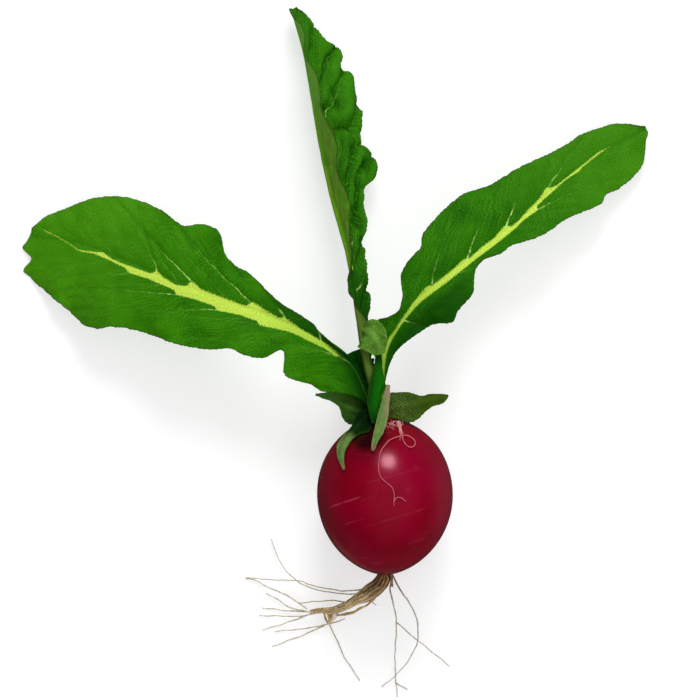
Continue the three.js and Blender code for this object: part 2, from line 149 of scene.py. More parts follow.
# ---------------------------------------------------------------- small tools for finishes
def ink(red, green, blue):
    """A colour given as it looks on a screen, from 0 to 255, as the shader wants it."""
    def linear(value):
        share = value / 255
        return share / 12.92 if share <= 0.04045 else ((share + 0.055) / 1.055) ** 2.4
    return (linear(red), linear(green), linear(blue), 1.0)


class Signal:
    """A value that varies over a surface, so that a pattern is written as plain arithmetic."""

    def __init__(self, finish, socket):
        self.finish = finish
        self.socket = socket

    def __add__(self, other):
        return self.finish.math("ADD", self, other)

    def __sub__(self, other):
        return self.finish.math("SUBTRACT", self, other)

    def __mul__(self, other):
        return self.finish.math("MULTIPLY", self, other)

    def __abs__(self):
        return self.finish.math("ABSOLUTE", self)

    def between(self, low, high):
        """0 at low and 1 at high, smoothly; low may be the larger."""
        return self.finish.signal("MapRange", self, low, high, 0.0, 1.0, interpolation_type="SMOOTHSTEP")

    def wave(self, pitch):
        """From -1 to 1 and back once in each pitch."""
        return self.finish.math("SINE", self * (math.tau / pitch))


class Finish:
    """A material whose pattern is made of signals, and of tones painted over each other."""

    def __init__(self, name, roughness, specular):
        self.material = bpy.data.materials.new(name)
        self.material.use_nodes = True
        self.tree = self.material.node_tree
        self.shader = self.tree.nodes["Principled BSDF"]
        self.even({"Roughness": roughness, "Specular IOR Level": specular, "IOR": PLANT_IOR})

    def even(self, values):
        """Sets what is the same all over the surface."""
        for name, value in values.items():
            self.shader.inputs[name].default_value = value

    def feed(self, socket, value):
        if isinstance(value, Signal):
            self.tree.links.new(value.socket, socket)
        else:
            socket.default_value = value

    def node(self, kind, *values, **settings):
        made = self.tree.nodes.new("ShaderNode" + kind)
        for key, value in settings.items():
            setattr(made, key, value)
        for socket, value in zip(made.inputs, values):
            self.feed(socket, value)
        return made

    def signal(self, kind, *values, output=0, **settings):
        return Signal(self, self.node(kind, *values, **settings).outputs[output])

    def math(self, operation, *values):
        return self.signal("Math", *values, operation=operation)

    def higher(self, a, b):
        return self.math("MAXIMUM", a, b)

    def parts(self, vector):
        """A vector's three numbers."""
        return [Signal(self, socket) for socket in self.node("SeparateXYZ", vector).outputs]

    def flat(self, x, y):
        return self.signal("CombineXYZ", x, y)

    def place(self):
        """The place on the object, in the millimetres that the pieces are shaped in."""
        found = self.signal("TexCoord", output="Object")
        moved = self.signal("VectorMath", found, tuple(ORIGIN), operation="SUBTRACT")
        scaled = self.node("VectorMath", moved, operation="SCALE")
        scaled.inputs["Scale"].default_value = 1 / MM
        return Signal(self, scaled.outputs[0])

    def grain(self, vector, size, detail=2, stretch=(1, 1, 1)):
        """A soft random value from 0 to 1, with features of about that size."""
        shaped = self.signal("VectorMath", vector, stretch, operation="MULTIPLY")
        made = self.node("TexNoise", shaped)
        made.inputs["Scale"].default_value = 1 / size
        made.inputs["Detail"].default_value = detail
        return Signal(self, made.outputs[0])

    def edge(self, length, total, stops):
        """Straight lines through (length, offset) stops in millimetres, all offsets within 5 mm of 0."""
        room = 5.0
        made = self.node("FloatCurve", 1.0, length * (1 / total))
        points = made.mapping.curves[0].points
        for place, _ in stops[1:-1]:
            points.new(place / total, 0.5)
        for point, (place, offset) in zip(points, stops):
            point.location = (place / total, 0.5 + offset / room / 2)
            point.handle_type = "VECTOR"
        made.mapping.update()
        return (Signal(self, made.outputs[0]) - 0.5) * (2 * room)

    def blend(self, share, a, b):
        made = self.node("Mix", data_type="RGBA")
        for name, value in (("Factor", share), ("A", a), ("B", b)):
            self.feed(made.inputs[name], value)
        return Signal(self, made.outputs["Result"])

    def layers(self, colour, coats):
        """The colour with each (share, tone) painted over it in turn."""
        for share, tone in coats:
            colour = self.blend(share, colour, tone if isinstance(tone, Signal) else ink(*tone))
        return colour

    def bump(self, height, depth):
        made = self.node("Bump")
        made.inputs["Distance"].default_value = depth * MM
        self.feed(made.inputs["Height"], height)
        self.feed(self.shader.inputs["Normal"], Signal(self, made.outputs[0]))

    def coloured(self, colour):
        self.feed(self.shader.inputs["Base Color"], colour)
        return self.material


# ---------------------------------------------------------------- the bulb
# Thin pale scars on the skin: middle x, middle y, length, width, slope, strength.
SCARS = [
    (-12.0, -1.9, 11.0, 0.40, 0.34, 0.42), (-5.4, -0.9, 5.6, 0.36, 0.34, 0.22),
    (-9.6, -7.8, 8.4, 0.36, 0.32, 0.16), (3.9, -6.3, 22.0, 0.36, 0.30, 0.17),
    (2.2, 6.0, 18.0, 0.40, 0.27, 0.18), (-6.4, 12.3, 6.4, 0.40, -0.04, 0.16),
    (-7.2, -18.7, 5.0, 0.42, -0.06, 0.18), (-2.2, -20.3, 4.0, 0.38, 0.12, 0.16),
    (0.8, 18.8, 2.0, 0.3, 0.0, 0.3), (-3.6, 9.6, 2.4, 0.26, 0.2, 0.12), (9.4, -13.6, 7.0, 0.34, 0.36, 0.1),
]
# Small pale spots on the skin: x, y, radius, strength.
SPOTS = [(9.2, 8.1, 1.5, 0.13), (6.8, 1.6, 1.5, 0.09), (-10.6, -12.0, 0.5, 0.07), (12.5, -11.0, 0.5, 0.07)]
# Painted shade on the skin under the leaves, then a darker painted shadow on the left of the crown, and a
# painted pink sheen beside the highlight:
# x, y, reach, core, strength, tone.
PAINTED_SHADE_AND_SHEEN = [(-6.0, 17.0, 12.0, 1.0, 0.8, (82, 0, 12)), (-5.2, 18.8, 6.8, 3.6, 0.92, (30, 0, 6)),
         (7.0, 8.0, 13.0, 2.0, 0.5, (148, 0, 48))]
# The neck that the leaves grow from: place along the axis, radius.
NECK = [(22.7, 4.8), (23.6, 4.4), (24.8, 4.2), (25.7, 3.2), (26.0, 0.0)]


def bulb_radius_at(y):
    end, roundness = (SHOULDER, SHOULDER_ROUNDNESS) if y > 0 else (TAPER, TAPER_ROUNDNESS)
    return BULB_RADIUS * max(1 - (y / end) ** 2, 0) ** roundness


def skin_height(x, y, clearance):
    """How high the bulb's upper side is over x, y, with a clearance: 0 beside the bulb."""
    reach = bulb_radius_at(y) + clearance
    beside = abs(x) >= reach or not -TAPER < y < SHOULDER
    return 0 if beside else AXIS + math.sqrt(reach ** 2 - x * x)


def over_skin(x, y, clearance):
    """The point over x, y that stands clear of the bulb's skin."""
    return (x, y, skin_height(x, y, clearance))


def from_middle(skin, x, y, middle_x, middle_y):
    """How far x, y is from a middle, seen from above."""
    away = skin.flat(x - middle_x, y - middle_y)
    return skin.signal("VectorMath", away, output="Value", operation="LENGTH")


def scar_mask(x, y, middle_x, middle_y, length, width, slant, strength):
    right = x - middle_x
    line = abs(y - middle_y - right * slant)
    return line.between(width, 0.05) * abs(right).between(length / 2, length / 4) * strength


def pale_marks(skin, place, x, y):
    """How strongly the scars, which are broken here and there, and the spots show."""
    broken = skin.grain(place, 2.5, detail=3).between(0.35, 0.6) * 0.7 + 0.3
    marks = [scar_mask(x, y, *scar) * broken for scar in SCARS]
    marks += [from_middle(skin, x, y, middle_x, middle_y).between(radius, 0.1) * strength
              for middle_x, middle_y, radius, strength in SPOTS]
    pale = 0.0
    for mark in marks:
        pale = skin.higher(pale, mark)
    return pale


def skin_finish():
    """Glossy red, mottled and drawn out along the bulb, darker at its ends, with pale marks on top; painted
    shade under the leaves, painted sheen by the highlight and painted rim light on the right.
    """
    skin = Finish("radish skin", roughness=0.24, specular=0.55)
    skin.even({"Specular Tint": (1.0, 0.4, 0.53, 1.0), "Coat Weight": 0.12, "Coat Roughness": 0.19})
    place = skin.place()
    x, y, z = skin.parts(place)
    upper_side = z.between(AXIS - 1, AXIS + 1)
    drawn_out = skin.grain(place, 1.6, stretch=(1, 0.12, 1))
    # painted rim light: the right flank is painted paler and pinker, as if lit from that side
    painted_rim_light = x.between(13, 19)
    tip = y.between(3 - TAPER, -TAPER)
    crown = y.between(SHOULDER - 3.2, SHOULDER - 0.8)
    neck = y.between(SHOULDER - 0.7, SHOULDER + 0.3)
    # painted shade under the leaves and on the left of the crown, and a painted pink sheen beside the
    # highlight
    painted_shade_and_sheen = [(from_middle(skin, x, y, middle_x, middle_y).between(reach, core) * upper_side * strength, tone)
             for middle_x, middle_y, reach, core, strength, tone in PAINTED_SHADE_AND_SHEEN]
    mottle = skin.grain(place, 7, detail=3).between(0.35, 0.7)
    colour = skin.layers(skin.blend(mottle, ink(132, 0, 26), ink(144, 0, 34)), [
        (drawn_out.between(0.5, 0.8) * 0.25, (118, 0, 27)),
        (pale_marks(skin, place, x, y) * upper_side, (208, 80, 110)),
        *painted_shade_and_sheen,
        (painted_rim_light * 0.3, (164, 46, 74)),
        (tip * 0.75, (114, 24, 38)),
        (crown * 0.6, (112, 20, 22)),
        (neck, skin.blend(drawn_out, ink(60, 66, 22), ink(112, 84, 50))),
    ])
    skin.bump(skin.grain(place, 0.9, detail=3), 0.012)
    return skin.coloured(colour)


def lumpy(vertex):
    """Moves a point of the bulb in or out a little, so that it isn't a perfect ball."""
    lump_size, lump_height, inset = 17, 0.3, 0.12
    these_lumps = Vector((3.1, 0.4, 7.7))
    lump = noise.noise(vertex.co / lump_size + these_lumps) * lump_height
    around = Vector((vertex.co.x, 0, vertex.co.z))
    if around.length > 0.01:
        room = min(around.length / BULB_RADIUS, 1)
        vertex.co += around.normalized() * (lump - inset) * room


def bulb():
    """The bulb's profile, spun about its axis."""
    rings, sides = 120, 160
    tip_turn, crown_turn = -0.478, 0.418  # half turns from the widest ring to where the rings end
    tip_inset = 0.6
    bm = bmesh.new()
    profile = []
    for i in range(rings + 1):
        turn = mix(tip_turn, crown_turn, i / rings) * math.pi
        y = math.sin(turn) * (TAPER if turn < 0 else SHOULDER)
        profile.append(bm.verts.new((0, y, bulb_radius_at(y))))
    profile.insert(0, bm.verts.new((0, tip_inset - TAPER, 0.0)))
    profile += [bm.verts.new((0, y, radius)) for y, radius in NECK]
    edges = [bm.edges.new(pair) for pair in zip(profile, profile[1:])]
    bmesh.ops.spin(bm, geom=profile + edges, cent=(0, 0, 0), axis=(0, 1, 0), angle=math.tau, steps=sides,
                   use_merge=True)
    bmesh.ops.remove_doubles(bm, verts=bm.verts, dist=0.001)
    bmesh.ops.recalc_face_normals(bm, faces=bm.faces)
    for vertex in bm.verts:
        lumpy(vertex)
        vertex.co.z += AXIS
    finished("bulb_skin", to_mesh(bm, "bulb_skin"), [skin_finish()], "skin", "bulb")


# ---------------------------------------------------------------- leaves
# A leaf's midrib follows a line through evenly spaced points from the crown to the tip. Each half blade
# has its own width along the leaf and its own rise from the leaf's plane, and a curl per millimetre of
# width. The roll turns the upper face from straight up to the right-hand side of someone who looks from
# the crown to the tip. Side veins are (where they leave the midrib, lean forward, reach, strength), and
# the sheet is quilted in rows of a spacing. The stalk thickens it over the midrib, the tip's end runs on
# or falls short across the leaf, and drape is how clear it stays of the bulb where it lies on it.
@dataclass
class Leaf:
    name: str
    midrib: list
    left: list
    right: list
    roll: float | list
    rise_left: float | list
    rise_right: float | list
    curl: float | list = 0
    wave: float = 0.0
    waves: float = 5
    stalk: tuple = ((0, 0.3), (1, 0.1))
    rows: int = 110
    columns: int = 44
    quilt: float = 0.25
    quilt_left: float | None = None
    spacing: float = 7.0
    teeth: float = 0.25
    tip: float | list = 0
    drape: float | None = None
    veins_left: tuple = ()
    veins_right: tuple = ()
    seed: int = 1

    def __post_init__(self):
        self.stations = {}
        self.total = self.length_to(1.0)
        if self.quilt_left is None:
            self.quilt_left = self.quilt

    def length_to(self, t):
        steps = 60
        places = [along(self.midrib, t * i / steps) for i in range(steps + 1)]
        return sum((b - a).length for a, b in zip(places, places[1:]))

    def station(self, t):
        """The midrib's place at t, the ways forward, to the side and out of the face, and its length."""
        if t not in self.stations:
            forward = ahead(self.midrib, t)
            up = (Vector((0, 0, 1)) - forward * forward.z).normalized()
            right = forward.cross(up)
            roll = math.radians(graded(self.roll, t))
            face = up * math.cos(roll) + right * math.sin(roll)
            side = right * math.cos(roll) - up * math.sin(roll)
            self.stations[t] = (along(self.midrib, t), forward, side, face, self.length_to(t))
        return self.stations[t]

    def half_width(self, hand, t):
        """How wide a half blade is at t, with its lobes and the teeth of its margin."""
        lobe_length, tooth_length, full_teeth_width = 2.6, 1.5, 4
        width = graded(self.left if hand < 0 else self.right, t)
        length = t * self.total
        lobes = noise.noise(Vector((length / lobe_length, hand * 3.7, self.seed)))
        saw = (length / tooth_length + lobes + hand) % 1.0
        teeth = (lobes + 0.9 * saw - 0.45) * self.teeth * min(width / full_teeth_width, 1)
        return max(width + teeth, LEAST_HALF_BLADE)

    def relief(self, hand, out, reach, length):
        """How far the sheet stands off its smooth shape: furrows on the veins, quilting between them."""
        midrib_furrow, vein_furrow, pucker, sway = 0.35, 0.3, 0.14, 0.5
        row_lean, pillow_width = 1.3, 6.5
        open_blade = min(out / 3, 1)
        quilt = self.quilt_left if hand < 0 else self.quilt
        height = -midrib_furrow * bell(out, 0.9)
        for start, lean, _, strength in self.veins_left if hand < 0 else self.veins_right:
            off = (length - start - lean * out) / math.hypot(1, lean)
            height -= vein_furrow * strength * bell(off, 0.8) * min(out / 2, 1)
        stray = 2.0 * noise.noise(Vector((hand * out / 8, length / 9, self.seed + 3)))
        row = (length - row_lean * out) / self.spacing + hand / 4 + stray / 3
        pillow = abs(math.sin(math.pi * row)) ** 0.7
        along_row = math.pi * (out / pillow_width + 0.5 * math.floor(row) + stray / 4)
        pillow *= 0.55 + 0.45 * abs(math.sin(along_row))
        height += quilt * (pillow - 0.5) * open_blade
        puckers = noise.noise(Vector((hand * out / 2.6, length / 3.4, self.seed + 9)))
        height += (pucker + 0.3 * quilt) * puckers * open_blade
        height += sway * noise.noise(Vector((hand * out / 9, length / 12, self.seed))) * reach
        return height

    def surface(self, across, t):
        """The upper face's point, its (across, along, distance to the margin), and its relief."""
        middle, forward, side, face, length = self.station(t)
        hand = (across > 0) - (across < 0)
        reach = abs(across)
        width = self.half_width(hand, t)
        out = reach * width
        rise = math.radians(graded(self.rise_left if hand < 0 else self.rise_right, t))
        curl = math.radians(graded(self.curl, t))
        lean = rise + curl * out / 2
        slant = rise + curl * out if hand else 0
        outward = face * math.cos(slant) - side * hand * math.sin(slant)
        ripple = self.wave * reach ** 2 * math.sin(math.tau * self.waves * t + hand)
        relief = self.relief(hand, out, reach, length)
        lift = ripple + relief + BLADE_THICKNESS / 2
        point = middle + side * hand * out * math.cos(lean) + face * out * math.sin(lean) + outward * lift
        last_twentieth = max(t * 20 - 19, 0)
        point += forward * graded(self.tip, hand * out) * last_twentieth
        point.z = max(point.z, 1.2 * BLADE_THICKNESS)
        if self.drape is not None:
            point.z = max(point.z, skin_height(point.x, point.y, self.drape))
        return point, Vector((hand * out, length, (1 - reach) * width)), relief

    def thickness(self, place, t):
        return BLADE_THICKNESS + graded(self.stalk, t) * bell(place.x, RIB_HALF_WIDTH)


def blade(leaf, finishes, slot, *nodes):
    """A leaf's sheet: a grid laid along the midrib, thickened downwards, most of all at the midrib."""
    bm = bmesh.new()
    bmesh.ops.create_grid(bm, x_segments=leaf.columns, y_segments=leaf.rows, size=1)
    measure = bm.verts.layers.float_vector.new("blade")
    hollow = bm.verts.layers.float.new("relief")
    groups = bm.verts.layers.deform.verify()
    for vertex in bm.verts:
        t = round((vertex.co.y + 1) / 2, 6)
        vertex.co, place, relief = leaf.surface(vertex.co.x, t)
        vertex[measure] = place
        vertex[hollow] = relief
        vertex[groups][0] = min(leaf.thickness(place, t) / RIB_DEPTH, 1)
    piece = finished(leaf.name, to_mesh(bm, leaf.name), finishes, slot, *nodes)
    piece.vertex_groups.new(name="thickness")
    thicken = piece.modifiers.new("thickness", "SOLIDIFY")
    thicken.thickness = RIB_DEPTH * MM
    thicken.offset = -1
    thicken.vertex_group = "thickness"
    thicken.material_offset = 1


BIG_LEAF = {"rows": 320, "stalk": [(0, 1.2), (0.3, 0.9), (1, 0.1)]}
LEFT_LEAF = Leaf(
    "leaf_left_blade", **BIG_LEAF, columns=100, seed=2, wave=1.1, waves=6,
    midrib=[
        (-3.4, 24.2, 22.4), (-10.3, 39.2, 24), (-22.6, 48.1, 26), (-36.5, 54.1, 26.5), (-50.5, 59.2, 24.5),
        (-64.3, 64.5, 20), (-78.5, 70.3, 13.5), (-92.8, 75.6, 6.5), (-107.4, 77.6, 0.4)],
    left=[
        (0, 0.6), (0.03, 1.1), (0.05, 2.6), (0.075, 7.2), (0.1, 11.6), (0.13, 12.6), (0.18, 12.8),
        (0.265, 13.8), (0.295, 7.8), (0.335, 12.2), (0.38, 13.4), (0.425, 13.3), (0.48, 15.9),
        (0.54, 17.2), (0.62, 17.6), (0.7, 19.2), (0.77, 22.4), (0.82, 21.4), (0.87, 19), (0.92, 17),
        (0.965, 14.2), (0.99, 11.6), (1, 10.6)],
    right=[
        (0, 0.9), (0.1, 1.1), (0.18, 1.3), (0.22, 1.9), (0.26, 3.4), (0.34, 5), (0.38, 6.6),
        (0.44, 10.2), (0.485, 10.9), (0.52, 13.2), (0.555, 18.2), (0.585, 20), (0.62, 19.3),
        (0.655, 16.5), (0.7, 17.8), (0.75, 19.6), (0.8, 19), (0.86, 15.4), (0.92, 10.4), (0.97, 6.6),
        (1, 2.4)],
    roll=[(0, -35), (0.15, -15), (0.35, 5), (1, 8)],
    rise_left=[(0, 20), (0.3, 12), (1, 2)],
    rise_right=[(0, 4), (0.15, 8), (0.3, 14), (1, 4)],
    curl=[(0, -0.8), (0.5, -1.2), (1, -1.4)],
    tip=[(-10.6, 0.4), (-9.6, 0.2), (-6.4, -1.9), (-3.6, 1.3), (-1.5, 0.4), (0, 0), (2.4, -1)],
    veins_right=[
        (27.5, 1.2, 2.6, 0.6), (39.6, 1.1, 4.5, 0.7), (47, 2.35, 11, 1), (57, 2.2, 13, 0.12),
        (66.8, 2.45, 8, 0.9), (75, 1.9, 9, 0.12), (81.7, 1.05, 3.6, 1), (90, 1.5, 7, 0.12),
        (98.6, 1.2, 4, 0.12)],
    veins_left=[
        (17.7, 3.3, 3, 0.3), (31.5, 4.6, 3, 0.4), (42, 3, 4, 0.12), (51.4, 2.7, 7, 0.8), (62.3, 3.3, 8, 1),
        (73, 2.6, 7, 0.12), (83.4, 2.4, 6, 0.3), (95, 2, 5, 0.12)],
)
# The left and the right edge of a midrib: (place along it, offset) in straight lines.
LEFT_RIB = (
    [(0, 0.5), (17, 0.5), (20.5, -0.4), (22, -1.6), (26, -1.4), (32, -1.9), (38, -2.0), (47, -3.5),
     (48.3, -2.6), (54, -2.7), (60.5, -3.7), (61.8, -2.8), (68, -2.9), (74, -3.6), (75.3, -2.5),
     (84, -2.3), (91, -2.9), (93, -1.9), (99, -1.5), (104, -1.4), (108, -2.0), (110, -2.0), (116, 0.2),
     (123, 2.7), (127, 3.6)],
    [(0, -0.9), (17, -0.9), (20.5, -0.5), (26, 0.1), (35, 0.3), (41, 1.6), (42.3, 0.9), (47, 1.5),
     (51.5, 2.5), (53, 0.6), (61, 0.7), (68, 0.8), (71.3, 1.9), (72.6, 0.0), (75.5, -0.8), (80, -0.1),
     (83.2, 1.0), (84.6, -0.5), (92, -0.8), (98, -0.9), (102, 0.1), (104, -0.7), (108, -1.5),
     (110, -1.8), (116, 0.38), (123, 2.8), (127, 2)])

RIGHT_LEAF = Leaf(
    "leaf_right_blade", **BIG_LEAF, columns=90, seed=5, wave=1.0, waves=6.5,
    midrib=[
        (-0.9, 24.4, 20), (0.2, 43.3, 22.5), (7.6, 56.2, 25), (18.9, 65.6, 26.5), (30.7, 74.9, 25),
        (42.3, 84.2, 21), (53.2, 94.1, 14.5), (65.4, 102.7, 7), (79.2, 109.9, 0.4)],
    left=[
        (0, 1), (0.06, 1.4), (0.1, 2.6), (0.15, 5.4), (0.18, 6.4), (0.2, 4.2), (0.23, 2.6), (0.26, 4.4),
        (0.29, 9.4), (0.34, 11.6), (0.365, 11.9), (0.39, 14.4), (0.46, 16.4), (0.53, 16.3), (0.59, 14.4),
        (0.66, 12.4), (0.73, 10.5), (0.78, 8.8), (0.81, 8.1), (0.86, 8), (0.93, 6.4), (1, 1)],
    right=[
        (0, 0.8), (0.06, 0.8), (0.13, 3.2), (0.2, 6.4), (0.27, 9), (0.315, 11.8), (0.345, 10), (0.4, 8.4),
        (0.435, 3.8), (0.47, 2.8), (0.51, 4.4), (0.545, 4.6), (0.58, 6.2), (0.62, 8), (0.68, 9), (0.74, 11),
        (0.795, 12.3), (0.825, 11), (0.87, 11.9), (0.93, 10), (0.97, 6.6), (1, 2.4)],
    roll=[(0, 10), (0.3, 4), (1, -4)],
    rise_left=[(0, 32), (0.3, 14), (1, 3)],
    rise_right=[(0, 32), (0.3, 16), (1, 3)],
    curl=[(0, -0.6), (0.5, -1.2), (1, -1.5)],
    tip=[(-1.6, -0.8), (0, 0), (1.2, -0.4), (2.4, -1.6)],
    veins_left=[(41.6, 1.4, 7, 0.8), (55.8, 1.55, 7.5, 0.8), (70.2, 1.9, 5.2, 1), (86, 3.6, 4, 0.5)],
    veins_right=[(29.8, 0.4, 2.8, 0.8), (50, 2.2, 3, 0.2), (79, 3.6, 2.8, 0.9)],
)
RIGHT_RIB = (
    [(0, -2.6), (12, -2.2), (17, -1.3), (21, -0.7), (26, 0.2), (33, 0.0), (38, -0.7), (42.3, -1.6),
     (43.6, -0.8), (52, -0.8), (56, -1.2), (57.3, -0.3), (63, -0.7), (67, -0.5), (72.3, -1.5),
     (73.6, 0.0), (77, 0.0), (81, -0.6), (87, -0.9), (90.4, -1.8), (91.6, -0.8), (94, -0.1), (104, -0.2),
     (112, -0.9), (117, -0.4), (128, -0.4)],
    [(0, 0.4), (12, 0.5), (17, 0.6), (21, 0.7), (26, 1.1), (38, 1.2), (48, 1.3), (58, 1.2), (66, 1.4),
     (74, 1.3), (78, 0.9), (83, 1.4), (84.4, 0.3), (92, 0.5), (98, 0.3), (102.5, 0.7), (104, 0.3),
     (112, -0.3), (117, -0.7), (128, -3)])

MIDDLE_LEAF = Leaf(
    "leaf_middle_blade", **BIG_LEAF, columns=90, seed=8, wave=0.9, waves=7, quilt=2.2, quilt_left=0.3,
    spacing=11.5, teeth=0.35,
    midrib=[
        (-1.6, 24.4, 24.6), (-5.4, 41, 26.5), (-7.8, 56.4, 25), (-10.4, 71.7, 22.5), (-14.8, 87, 19.5),
        (-18.4, 102.3, 16.5), (-21.2, 117.6, 13.5), (-24, 132.9, 10), (-27.8, 146.4, 5.5)],
    left=[
        (0, 0.6), (0.06, 0.8), (0.11, 1.9), (0.16, 2.7), (0.2, 2.4), (0.26, 1.2), (0.285, 2.6),
        (0.32, 2.8), (0.35, 2.8), (0.42, 8), (0.5, 11.5), (0.6, 14), (0.72, 14.5), (0.82, 12),
        (0.9, 8.5), (0.96, 4.5), (1, 0.8)],
    right=[
        (0, 0.8), (0.17, 1.2), (0.22, 3.6), (0.26, 3.8), (0.3, 4), (0.35, 5), (0.4, 6.4), (0.45, 8.6),
        (0.5, 10.6), (0.535, 12.4), (0.56, 17), (0.605, 18), (0.635, 16.8), (0.655, 15), (0.7, 15.4),
        (0.74, 15.2), (0.775, 15.6), (0.8, 14.9), (0.824, 13.6), (0.834, 10.9), (0.86, 11.4),
        (0.885, 10.6), (0.898, 7.4), (0.93, 6.2), (0.965, 4.4), (1, 1)],
    roll=[(0, 66), (0.25, 70), (0.6, 66), (0.85, 54), (1, 46)],
    rise_left=[(0, 72), (0.1, 74), (0.2, 54), (0.265, 0), (0.29, -30), (0.325, -26), (0.36, 16),
               (0.4, 34), (0.6, 38), (0.77, 37), (0.85, 39), (1, 46)],
    rise_right=[(0, 60), (0.25, 34), (0.6, 26), (1, 24)],
    curl=[(0, 0), (0.3, 0.4), (1, 0)],
    veins_left=[(48, 1.4, 3, 0.6), (62, 1.4, 3, 0.6), (76, 1.4, 3, 0.6), (90, 1.4, 3, 0.5)],
    veins_right=[(38, 1.3, 2, 0.5), (50, 1.3, 3, 0.5), (63, 1.2, 3, 0.1), (76, 1.2, 3, 0.1),
                 (89, 1.2, 10, 0.6), (102, 1.1, 3, 0.2)],
)
MIDDLE_RIB = (
    [(0, 0.4), (43, 0.4), (45, -0.1), (47, 0.4), (54, 0.4), (59, -0.1), (63, 0.4), (126, 0.4)],
    [(0, -0.4), (43, -0.4), (45, 0.3), (47, -0.4), (54, -0.4), (59, 0.3), (63, -0.4), (126, -0.4)])

LEAFLET = Leaf(
    "leaf_middle_leaflet", rows=70, columns=56, seed=11, quilt=0.5, spacing=5,
    midrib=[(-6.6, 49.4, 26.6), (-4.6, 48.6, 30.4), (-2.6, 46.2, 31.4), (-1.4, 42.4, 29.4)],
    left=[(0, 2.4), (0.35, 5.4), (0.7, 4.8), (1, 2)],
    right=[(0, 2), (0.35, 4.5), (0.7, 3.4), (1, 1.4)],
    roll=180, rise_left=-6, rise_right=-6,
    veins_left=[(3, 1.2, 5, 0.5)], veins_right=[(3, 1.2, 5, 0.5)],
)

SMALL_RIGHT = Leaf(
    "small_leaf_right_blade", seed=14, quilt=0.3, spacing=4, drape=0.5,
    midrib=[(0.2, 25.2, 24.6), (4.4, 26.6, 26.4), (9, 27.2, 26.4), (14, 28.6, 25.4), (18.8, 29.9, 24.2)],
    left=[(0, 1.8), (0.25, 4.3), (0.45, 5), (0.58, 3.3), (0.73, 2.1), (0.88, 2), (0.94, 1.5), (1, 0.3)],
    right=[(0, 3.2), (0.12, 4.8), (0.25, 4.4), (0.5, 3.4), (0.62, 1.9), (0.72, 1.9), (0.88, 1.1), (1, 0.2)],
    roll=178, rise_left=-4, rise_right=-6,
)
SMALL_LEFT = Leaf(
    "small_leaf_left_blade", seed=17, quilt=0.4, spacing=4,
    midrib=[(-4.4, 24.4, 18.6), (-8.6, 25, 20), (-12.8, 27, 19.6), (-16.6, 29.1, 18.4),
            (-20.6, 30.1, 16.8)],
    left=[(0, 2.4), (0.25, 4.6), (0.5, 4.2), (0.7, 2.4), (0.85, 1.2), (1, 0.3)],
    right=[(0, 2.6), (0.14, 3.8), (0.28, 4.2), (0.42, 3), (0.49, 1.6), (0.55, 0.7), (0.85, 0.7), (1, 0.3)],
    roll=180, rise_left=-8, rise_right=-6,
)
SMALL_LOWER_LEFT = Leaf(
    "small_leaf_lower_left_blade", seed=20, quilt=0.3, spacing=4, drape=0.35,
    midrib=[(-3.8, 25.4, 26), (-7.3, 21.8, 27.6), over_skin(-10.7, 17.6, 0.9), over_skin(-12.8, 12.9, 0.9),
            over_skin(-12, 7.6, 0.7)],
    left=[(0, 1.4), (0.16, 2.4), (0.3, 1.6), (0.42, 1.4), (0.52, 1.9), (0.62, 2.3), (0.8, 1.5), (1, 0.3)],
    right=[(0, 1), (0.16, 3), (0.3, 3.4), (0.42, 2), (0.55, 1.5), (0.7, 1.4), (0.85, 0.9), (1, 0.3)],
    roll=[(0, 184), (0.25, 194), (0.6, 216), (1, 214)], rise_left=-3, rise_right=-3,
)
SMALL_FRONT = Leaf(
    "small_leaf_front_blade", seed=23, quilt=0.25, spacing=4, drape=0.35,
    midrib=[(0.9, 33, 29.4), (0.2, 28.2, 30.2), (-0.9, 23.2, 31.2), over_skin(-2.3, 18.2, 1.2),
            over_skin(-3.9, 13.2, 0.8)],
    left=[(0, 0.4), (0.15, 0.9), (0.3, 1.3), (0.45, 1.6), (0.65, 1.5), (0.78, 1.2), (0.9, 0.8), (1, 0.3)],
    right=[(0, 0.4), (0.15, 0.9), (0.3, 1.2), (0.45, 1.6), (0.65, 1.5), (0.78, 1.1), (0.9, 0.6), (1, 0.3)],
    roll=176, rise_left=-12, rise_right=-12,
)
SMALL_UPRIGHT = Leaf(
    "small_leaf_upright_blade", seed=26, quilt=0.3, spacing=4, drape=0.4,
    midrib=[(-3.6, 21.4, 30), (-3.5, 27, 29.2), (-2.8, 32.8, 28.6), (-2.2, 38.4, 28.2), (-2, 44.2, 27.2)],
    left=[(0, 0.4), (0.2, 1.6), (0.4, 2.1), (0.5, 1.9), (0.65, 1.5), (0.8, 1), (1, 0.6)],
    right=[(0, 0.4), (0.2, 1.8), (0.4, 2.4), (0.52, 2.7), (0.62, 2.4), (0.72, 1.5), (0.85, 1.2), (1, 0.6)],
    roll=4, rise_left=-14, rise_right=-12,
)
SMALL_BACK = Leaf(
    "small_leaf_back_blade", seed=29, quilt=0.5, spacing=5, teeth=1.4,
    midrib=[(-1.8, 23.7, 17.3), (-4.8, 31, 15), (-7.4, 37.4, 15.4), (-9.6, 43, 16.4)],
    left=[(0, 1.6), (0.3, 3.6), (0.65, 4.2), (0.9, 3.8), (1, 2.6)],
    right=[(0, 1.6), (0.3, 3.8), (0.5, 4), (0.65, 4.2), (0.85, 4.8), (1, 3.6)],
    roll=0, rise_left=4, rise_right=4,
)
SMALL_UNDER = Leaf(
    "small_leaf_under_blade", seed=32, quilt=0.4, spacing=4,
    midrib=[(1.2, 23.8, 17.2), (3.4, 24.8, 11.2), (5.2, 21.8, 7.4), (6.6, 17.6, 4.4)],
    left=[(0, 1.2), (0.4, 2.6), (0.75, 2), (1, 0.4)],
    right=[(0, 1.2), (0.4, 2.6), (0.75, 2), (1, 0.4)],
    roll=0, rise_left=4, rise_right=4,
)


